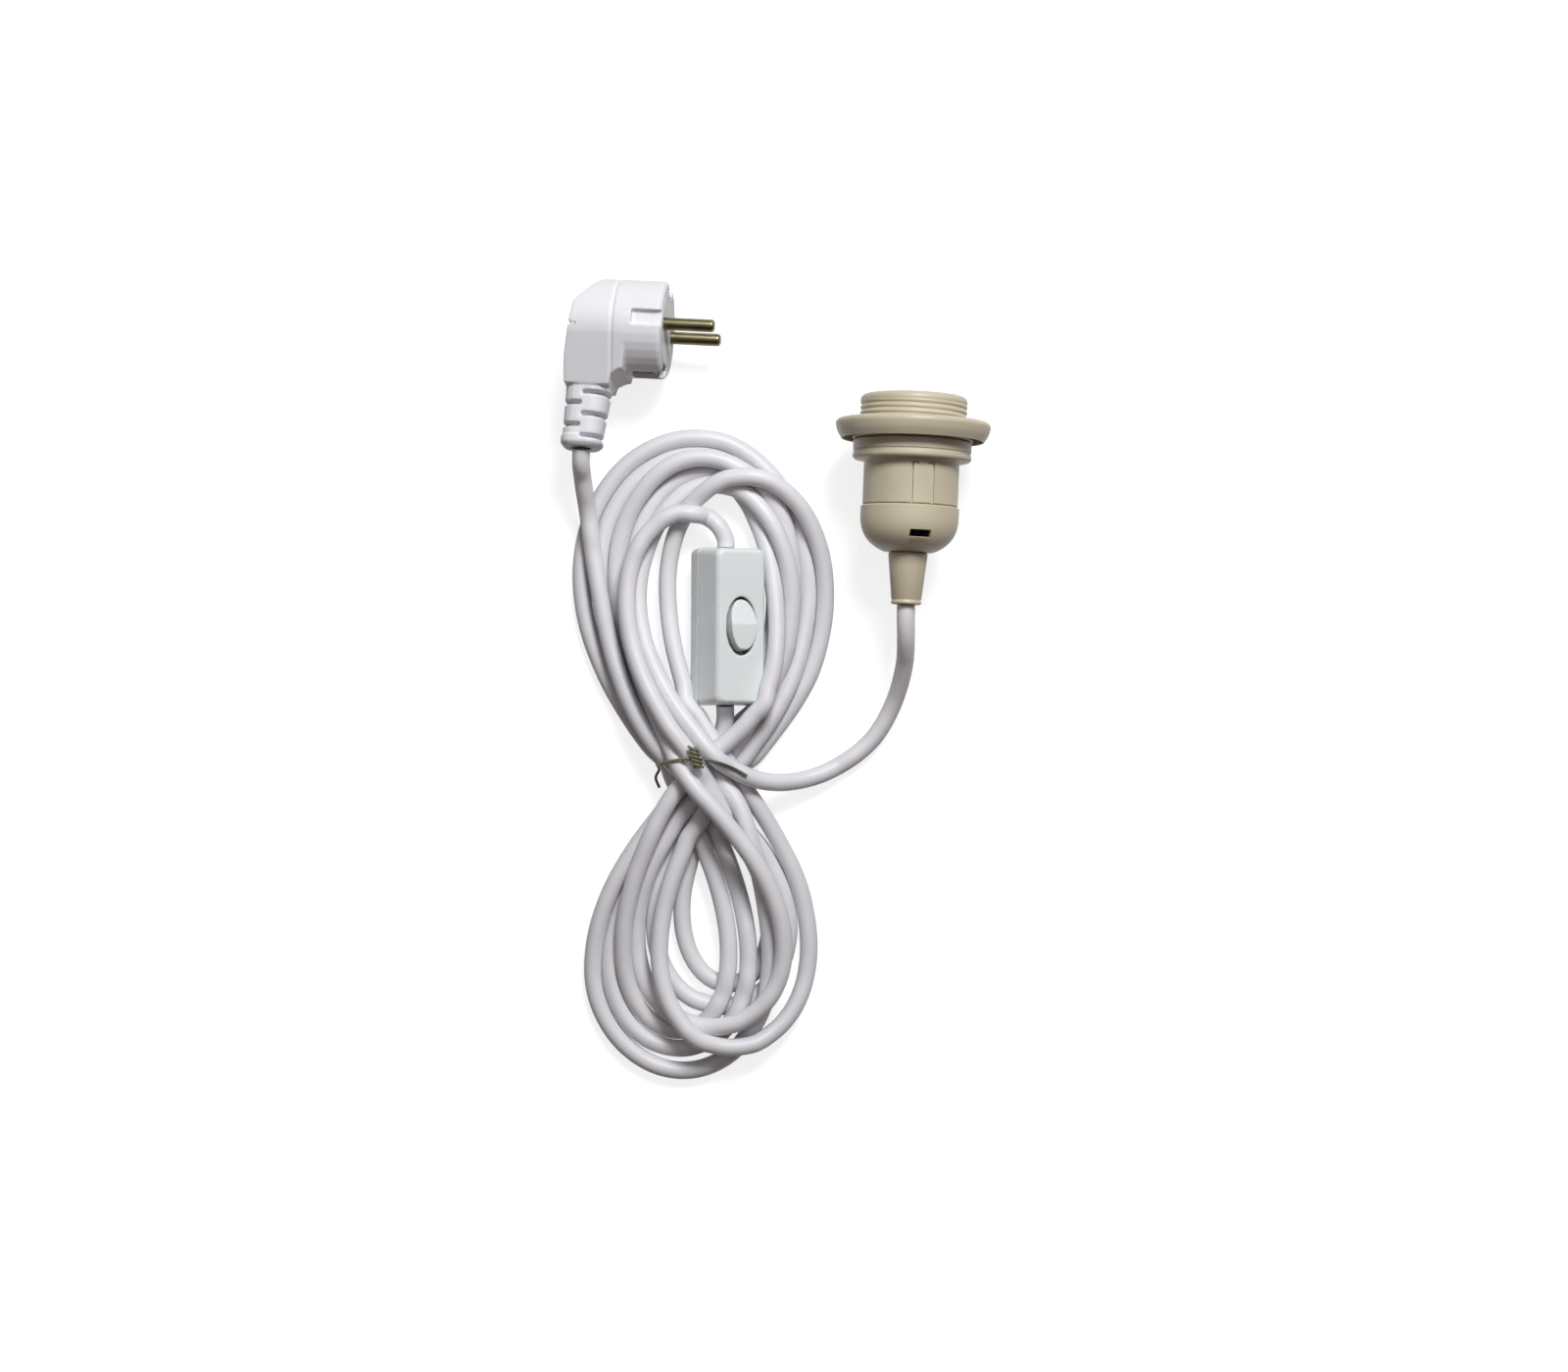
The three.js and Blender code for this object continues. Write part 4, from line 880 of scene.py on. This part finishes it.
def plug_pin(name, side):
    """A pin along the plug's X axis, round at its tip."""
    section = [
        (-PIN_ROOT, PIN_CENTRE),
        (-PIN_ROOT, PIN_RADIUS),
        (PIN_LENGTH - PIN_ROUND, PIN_RADIUS),
    ]
    for i in range(1, PIN_ROUND_STEPS + 1):
        angle = math.pi / 2 * i / PIN_ROUND_STEPS
        reach = PIN_LENGTH - PIN_ROUND * (1 - math.sin(angle))
        section.append((reach, PIN_RADIUS - PIN_ROUND * (1 - math.cos(angle))))
    section.append((PIN_LENGTH, PIN_CENTRE))
    grid = bmesh.new()
    middle = side * PIN_SPACING / 2
    angles = [2 * math.pi * i / PIN_SEGMENTS for i in range(PIN_SEGMENTS)]
    rings = []
    for along, radius in section:
        ring = [on_plug(along, radius * math.cos(a), middle + radius * math.sin(a)) for a in angles]
        rings.append([grid.verts.new(point) for point in metres(ring)])
    for ring, following in zip(rings, rings[1:]):
        for i in range(PIN_SEGMENTS):
            j = (i + 1) % PIN_SEGMENTS
            grid.faces.new((ring[i], ring[j], following[j], following[i]))
    grid.faces.new(rings[0])
    grid.faces.new(rings[-1])
    bmesh.ops.recalc_face_normals(grid, faces=grid.faces)
    return new_piece(name, grid, SMALL_PIECE_SHARP_ANGLE)


def leaning(x, y, z, scale=1):
    """The switch's section, a little wider and leaning to its right."""
    across, along, up = off_switch @ Vector((x, y, z))
    lean = SWITCH_LEAN * max(0, up - SWITCH_LEAN_FROM)
    return on_switch(across * SWITCH_WIDEN * scale + lean, along * scale, up)


def leaning_rocker(x, y, z):
    return leaning(x, y, z, ROCKER_SCALE)


def switch():
    base = moulded("switch_base_moulding", "switch_base", SWITCH_SKIN, SWITCH_SOFTENING, leaning)
    dress(base, "set", "cool_white_plastic", "switch_base")
    cover = moulded("switch_cover_moulding", "switch_cover", SWITCH_SKIN, SWITCH_SOFTENING, leaning)
    dress(cover, "set", "cool_white_plastic", "switch_cover")
    rocker = moulded(
        "switch_rocker_moulding", "switch_rocker", ROCKER_SKIN, ROCKER_SOFTENING, leaning_rocker
    )
    dress(rocker, "rocker", "cool_white_plastic", "switch_rocker")
    return [base, cover, rocker, *(frame["nodes"][node] for node in SWITCH_PARTS)]


# Cord routes


def leads():
    """The free stretches, as the CAD routes them: straight out of each piece and down to the hank."""
    lamp = [
        (0, HOLDER_END, AXIS_HEIGHT),
        (0, HOLDER_END - STRAIGHT_OUT, AXIS_HEIGHT),
        (0.6, -51, 26),
        (0.8, -62, 17),
        (-2.6, -77, 7),
        (-9.5, -90, 3.9),
        (-20, -99.5, 3.9),
        (-33, -106, 4),
        (-45, -108.6, 6),
        (-55, -108.2, 9),
    ]
    plug = [
        on_plug(BOOT_AXIS_X, -BOOT_END, 0),
        on_plug(BOOT_AXIS_X, -BOOT_END - STRAIGHT_OUT, 0),
        (-123.6, 6, 21),
        (-122.4, -2, 16.5),
        (-120.4, -12, 12),
        (-117.6, -25, 9.5),
    ]
    half = SWITCH_LENGTH / 2
    switch_up = [
        on_switch(0, half, CORD_LEVEL),
        on_switch(0, half + STRAIGHT_OUT, CORD_LEVEL),
        (-70.8, -12.4, 12.4),
        (-75.9, -8.4, 11.6),
        (-82.4, -6.2, 11),
        (-88.7, -6.8, 10),
        (-95, -9.5, 9),
        (-101.5, -16, 9),
        (-105, -26, 9),
    ]
    switch_down = [
        on_switch(0, -half, CORD_LEVEL),
        on_switch(0, -half - STRAIGHT_OUT, CORD_LEVEL),
        (-66.2, -86, 10.6),
        (-67.6, -95, 8.4),
    ]
    return lamp, plug, switch_up, switch_down


def turn_points(turn):
    """A turn from its left side round its far point to its right side, as two quarter ellipses."""
    far_x, far_y = turn.far
    points = []
    for step in range(2 * QUARTER_STEPS + 1):
        angle = math.pi * step / (2 * QUARTER_STEPS)
        half_width = far_x - turn.left if step <= QUARTER_STEPS else turn.right - far_x
        x = far_x - half_width * math.cos(angle)
        y = turn.widest + (far_y - turn.widest) * math.sin(angle)
        points.append((x, y, 0, turn.layer))
    return points


def between(side, inner, power):
    """The points between a side of a lobe and a place nearer the neck, from the lobe on."""
    (x, y, z, layer), (inner_x, inner_y, inner_z, inner_layer) = side, inner
    run = []
    for step in range(1, NECK_STEPS + 1):
        share = step / (NECK_STEPS + 1)
        run.append((
            x + (inner_x - x) * share**power,
            y + (inner_y - y) * share,
            0,
            layer + (inner_layer - layer) * share**2,
        ))
    return run


def in_neck(turn):
    """Where the strand that leads into a turn lies under the tie."""
    return turn.slot, TIE_Y, 0, turn.slot_layer


def into_neck(turn, slot):
    """The points from a turn's right side to a slot."""
    side = turn_points(turn)[-1]
    if turn.gate is None:
        return between(side, slot, NECK_POWER)
    gate = (turn.gate, GATE_Y, 0, turn.layer)
    return [*between(side, gate, GATE_POWER), gate]


def out_of_neck(turn):
    """The points from a turn's slot to its left side."""
    side = (turn.left, turn.widest, 0, turn.layer)
    return between(side, in_neck(turn), NECK_POWER)[::-1]


def wound(turns, last):
    """A line through turns, from the slot before the first one to the last strand's side."""
    line = []
    for turn, following in zip(turns, [*turns[1:], last]):
        line += [in_neck(turn), *out_of_neck(turn)]
        line += [*turn_points(turn), *into_neck(turn, in_neck(following))]
    return [*line, in_neck(last), *out_of_neck(last)]


def in_layer(points, layer):
    """A lead's points with the layer that they belong to."""
    return [(*point, layer) for point in points]


def cord_lines():
    """The two cords as lines of x, y, z and layer: lamp holder to switch, and switch to plug."""
    lamp, plug, switch_up, switch_down = leads()
    lamp_cord = [
        *in_layer(lamp, LAMP_CORD_TURNS[0].slot_layer),
        *wound(LAMP_CORD_TURNS, SWITCH_STRAND),
        *in_layer(switch_up[::-1], SWITCH_STRAND.layer),
    ]
    plug_cord = [
        *in_layer(switch_down, PLUG_CORD_TURNS[0].slot_layer),
        *wound(PLUG_CORD_TURNS, PLUG_STRAND),
        *in_layer(plug[::-1], PLUG_STRAND.layer),
    ]
    return smooth_line(lamp_cord, POINT_STEP), smooth_line(plug_cord, POINT_STEP)


def catmull_rom(p0, p1, p2, p3, steps):
    """Points of the centripetal Catmull-Rom curve from p1 to just before p2."""
    gaps = [np.linalg.norm(b - a) ** 0.5 for a, b in ((p0, p1), (p1, p2), (p2, p3))]
    k0, k1, k2, k3 = np.cumsum([0, *gaps])
    points = []
    for t in np.linspace(k1, k2, steps, endpoint=False):
        a1 = p0 + (p1 - p0) * (t - k0) / (k1 - k0)
        a2 = p1 + (p2 - p1) * (t - k1) / (k2 - k1)
        a3 = p2 + (p3 - p2) * (t - k2) / (k3 - k2)
        b1 = a1 + (a2 - a1) * (t - k0) / (k2 - k0)
        b2 = a2 + (a3 - a2) * (t - k1) / (k3 - k1)
        points.append(b1 + (b2 - b1) * (t - k1) / (k2 - k1))
    return points


def smooth_line(points, step):
    """A smooth line through points, as evenly spaced points."""
    given = np.array(points, float)
    given = np.vstack([2 * given[0] - given[1], given, 2 * given[-1] - given[-2]])
    fine = []
    for four in zip(given, given[1:], given[2:], given[3:]):
        fine += catmull_rom(*four, CURVE_STEPS)
    return evenly(np.array([*fine, given[-2]]), step)


def evenly(line, step):
    """A line with its points an even step apart."""
    along = np.concatenate([[0], np.cumsum(np.linalg.norm(np.diff(line[:, :3], axis=0), axis=1))])
    stations = np.linspace(0, along[-1], round(along[-1] / step) + 1)
    return np.stack([np.interp(stations, along, column) for column in line.T], axis=1)


# Cords laid down on the floor and on each other, clear of the pieces


def solid_tree(nodes):
    """What the cords must not enter, as one tree of faces in millimetres."""
    corners, faces = [], []
    for node in nodes:
        mesh = frame["nodes"][node].data
        faces += [[len(corners) + v for v in polygon.vertices] for polygon in mesh.polygons]
        corners += [v.co / MM for v in mesh.vertices]
    return BVHTree.FromPolygons(corners, faces)


def contacts(points):
    """Pairs of points of different strands that are near each other."""
    squares = (points**2).sum(1)
    distances = squares[:, None] + squares[None, :] - 2 * points @ points.T
    first, second = np.nonzero(np.triu(distances < (CORD_DIAMETER + NEAR_MARGIN) ** 2, SKIPPED_POINTS))
    return first, second


def part_strands(points, pairs, free):
    """Moves overlapping strands apart by half the overlap each."""
    first, second = pairs
    apart = points[second] - points[first]
    distance = np.linalg.norm(apart, axis=1)
    overlap = np.clip(CORD_DIAMETER + STRAND_GAP - distance, 0, None)
    push = apart * (overlap / np.maximum(distance, 1e-6))[:, None] / 2
    total = np.zeros_like(points)
    count = np.zeros(len(points))
    np.add.at(total, first, -push)
    np.add.at(total, second, push)
    np.add.at(count, first, overlap > 0)
    np.add.at(count, second, overlap > 0)
    points += total / np.maximum(count, 1)[:, None] * free[:, None] * PUSH_RATE


def keep_off(points, tree, movable):
    """Moves the points that are in or too near the solids out along the nearest face."""
    for i in movable:
        place, normal, face, distance = tree.find_nearest(Vector(points[i]), CORD_RADIUS + STRAND_GAP)
        if place is None:
            continue
        away = Vector(points[i]) - place
        outside = away.dot(normal) > 0
        depth = CORD_RADIUS + STRAND_GAP - distance if outside else CORD_RADIUS + STRAND_GAP + distance
        points[i] += np.array(normal) * depth


def stiffen(points, ends, target, free):
    """One round of the cords' stiffness: it evens out bends in height and shifts along the floor."""
    for start, end in ends:
        line = points[start:end]
        shift = line[:, :2] - target[start:end]
        shift[1:-1] += SPREAD_RATE * ((shift[:-2] + shift[2:]) / 2 - shift[1:-1])
        loose = free[start:end]
        line[:, :2] = np.where(loose[:, None] > 0, target[start:end] + shift, line[:, :2])
        for n in STIFFNESS_STRIDES:
            middle = slice(2 * n, -2 * n)
            bend = line[:-4 * n] - 4 * line[n:-3 * n] + 6 * line[middle] - 4 * line[3 * n:-n] + line[4 * n:]
            line[middle] -= STIFFNESS_RATE * bend * loose[middle, None]


def heap(points, layers, free):
    """Lifts each free point onto the strands of lower layers that it crosses."""
    order = np.argsort(layers, kind="stable")
    laid = np.nonzero(free == 0)[0].tolist()
    for i in order:
        if not free[i]:
            continue
        below = np.array([j for j in laid if layers[j] < layers[i] - LAYER_STEP], int)
        height = CORD_RADIUS
        if len(below):
            apart = ((points[below, :2] - points[i, :2]) ** 2).sum(1)
            near = apart < CORD_DIAMETER**2
            tops = points[below[near], 2] + np.sqrt(CORD_DIAMETER**2 - apart[near])
            height = max([height, *tops])
        points[i, 2] = height
        laid.append(i)


def lay_down(lines, fixed):
    """The lines once settled on the floor and each other. fixed says how many points each end holds."""
    points = np.vstack(lines)
    layers, points = points[:, 3], points[:, :3].copy()
    starts = np.cumsum([0, *(len(line) for line in lines)])
    ends = list(zip(starts, starts[1:]))
    free = np.ones(len(points))
    for (start, end), (first, last) in zip(ends, fixed):
        free[start:start + first] = 0
        free[end - last:end] = 0
    heap(points, layers, free)
    target = points[:, :2].copy()
    tree = solid_tree(SOLIDS_NEAR_CORD)
    movable = np.nonzero(free)[0]
    in_band = np.abs(target[:, 1] - TIE_Y) < NECK_BAND
    under_tie = in_band & (np.abs(target[:, 0] - TIE_X) < 2 * NECK_HALF_WIDTH)
    left, right = TIE_X - NECK_HALF_WIDTH, TIE_X + NECK_HALF_WIDTH
    for step in range(SETTLE_ROUNDS):
        points[:, 2] -= SINK_STEP * free
        points[:, :2] += HOLD_RATE * (target - points[:, :2]) * free[:, None]
        stiffen(points, ends, target, free)
        if step % NEAR_EVERY == 0:
            pairs = contacts(points)
        for _ in range(PUSHES):
            part_strands(points, pairs, free)
            points[:, 2] = np.where(free > 0, np.maximum(points[:, 2], CORD_RADIUS), points[:, 2])
        keep_off(points, tree, movable)
        points[under_tie, 0] = np.clip(points[under_tie, 0], left, right)
    return [points[start:end] for start, end in ends]


def thinned(line):
    """Every second point of a line, and its last one."""
    return np.vstack([line[:-1:2], line[-1:]])


def cord_curve(name, line):
    data = bpy.data.curves.new(name, "CURVE")
    data.dimensions = "3D"
    data.bevel_depth = CORD_RADIUS * MM
    data.bevel_resolution = CORD_ROUNDNESS
    data.use_fill_caps = True
    spline = data.splines.new("POLY")
    spline.points.add(len(line) - 1)
    for point, place in zip(spline.points, line):
        point.co = (*(place * MM), 1)
    piece = bpy.data.objects.new(name, data)
    bpy.context.scene.collection.objects.link(piece)
    return piece


def crossings(lines, y):
    """Where the lines pass through a plane across the neck, as x and z."""
    found = []
    for line in lines:
        for a, b in zip(line, line[1:]):
            if (a[1] - y) * (b[1] - y) < 0:
                place = a + (b - a) * (y - a[1]) / (b[1] - a[1])
                if abs(place[0] - TIE_X) < NECK_HALF_WIDTH + TIE_MARGIN:
                    found.append((place[0], place[2]))
    return found


def hull(points):
    """The convex outline of points in a plane, anticlockwise."""
    points = sorted(set(points))
    sides = []
    for run in (points, points[::-1]):
        side = []
        for p in run:
            while len(side) > 1 and turn_of(side[-2], side[-1], p) <= 0:
                side.pop()
            side.append(p)
        sides += side[:-1]
    return sides


def turn_of(a, b, c):
    return (b[0] - a[0]) * (c[1] - a[1]) - (b[1] - a[1]) * (c[0] - a[0])


def height_over(lines, x, y):
    """How high a wire lies over the cords at a place."""
    reach = CORD_RADIUS + TIE_WIRE
    height = TIE_WIRE
    for line in lines:
        apart = (line[:, 0] - x) ** 2 + (line[:, 1] - y) ** 2
        near = apart < reach**2
        height = max([height, *(line[near, 2] + np.sqrt(reach**2 - apart[near]))])
    return height


def wire(name, runs):
    """One or more round wires as a single piece."""
    data = bpy.data.curves.new(name, "CURVE")
    data.dimensions = "3D"
    data.bevel_depth = TIE_WIRE * MM
    data.bevel_resolution = TIE_ROUNDNESS
    data.use_fill_caps = True
    for run, closed in runs:
        spline = data.splines.new("POLY")
        spline.points.add(len(run) - 1)
        spline.use_cyclic_u = closed
        for point, place in zip(spline.points, run):
            point.co = (*(Vector(place) * MM), 1)
    piece = bpy.data.objects.new(name, data)
    bpy.context.scene.collection.objects.link(piece)
    return piece


def tie(lines):
    """The wire tie: a loop round the neck, drawn tight, with its ends twisted together on top."""
    reach = CORD_RADIUS + TIE_WIRE
    around = []
    for x, z in crossings(lines, TIE_Y):
        for i in range(TIE_ARC_STEPS):
            angle = 2 * math.pi * i / TIE_ARC_STEPS
            around.append((x + reach * math.cos(angle), max(TIE_WIRE, z + reach * math.sin(angle))))
    outline = hull(around)
    closed = np.array([(x, 0, z) for x, z in [*outline, outline[0]]])
    loop = evenly(closed, TIE_STEP)[:-1]
    middle = (loop[:, 0].min() + loop[:, 0].max()) / 2
    half = (loop[:, 0].max() - loop[:, 0].min()) / 2
    share = (loop[:, 0] - middle) / half
    loop[:, 1] = TIE_Y + TIE_BOW * (TIE_BOW_MIDDLE - share**2) + TIE_TILT * half * share
    low = min(loop[np.argmin(share), 2], loop[np.argmax(share), 2]) + TIE_MARGIN
    for i in np.nonzero(loop[:, 2] > low)[0]:
        loop[i, 2] = max(loop[i, 2], height_over(lines, loop[i, 0], loop[i, 1]))
    runs = [(loop, True)]
    knot = loop[np.argmin(np.abs(loop[:, 0] - KNOT_X) - KNOT_HEIGHT_SHARE * loop[:, 2])]
    for start in (0, math.pi):
        run = []
        for i in range(KNOT_STEPS + 1):
            along = KNOT_LENGTH * (i / KNOT_STEPS - KNOT_BACK)
            angle = start + 2 * math.pi * KNOT_TURNS * i / KNOT_STEPS
            x = knot[0] + KNOT_RADIUS * math.cos(angle) - KNOT_SLANT * along
            y = knot[1] + along
            lift = KNOT_RADIUS * (1 + math.sin(angle))
            run.append((x, y, max(knot[2], height_over(lines, x, y)) + lift))
        runs.append((run, False))
    left = loop[np.argmin(loop[:, 0])]
    end = [tuple(left)]
    for aside, down in LOOSE_END:
        x, y = left[0] + aside, left[1] + down
        end.append((x, y, height_over(lines, x, y)))
    runs.append((smooth_line(end, TIE_STEP), False))
    dress(wire("tie_wire", runs), "set", "tie_plastic", "twist_tie")


def cords(plug_pieces, switch_pieces):
    """The two cords: lamp holder to switch, and switch to plug."""
    laid = lay_down(cord_lines(), HELD_POINTS)
    lamp_line, plug_line = [smooth_line(thinned(line), POINT_STEP / 2) for line in laid]
    lamp_cord = cord_curve("lamp_cord", lamp_line)
    plug_cord = cord_curve("plug_cord", plug_line)
    dress(lamp_cord, "set", "cord_pvc", "lamp_lead", "switch_lead_up", "cord_hank")
    dress(plug_cord, "set", "cord_pvc", "plug_lead", "switch_lead_down")
    return lamp_line, plug_line


bpy.context.scene.view_settings.view_transform = "Standard"
camera()
floor()
backdrop()
world()
materials = slot_materials()
area_light("key", KEY_PLACE, KEY_AIM, KEY_SIZE, KEY_POWER)
threaded_skirt()
shade_ring()
dome_cap()
grip_nut()
tie(cords(plug(), switch()))
dress_nodes()
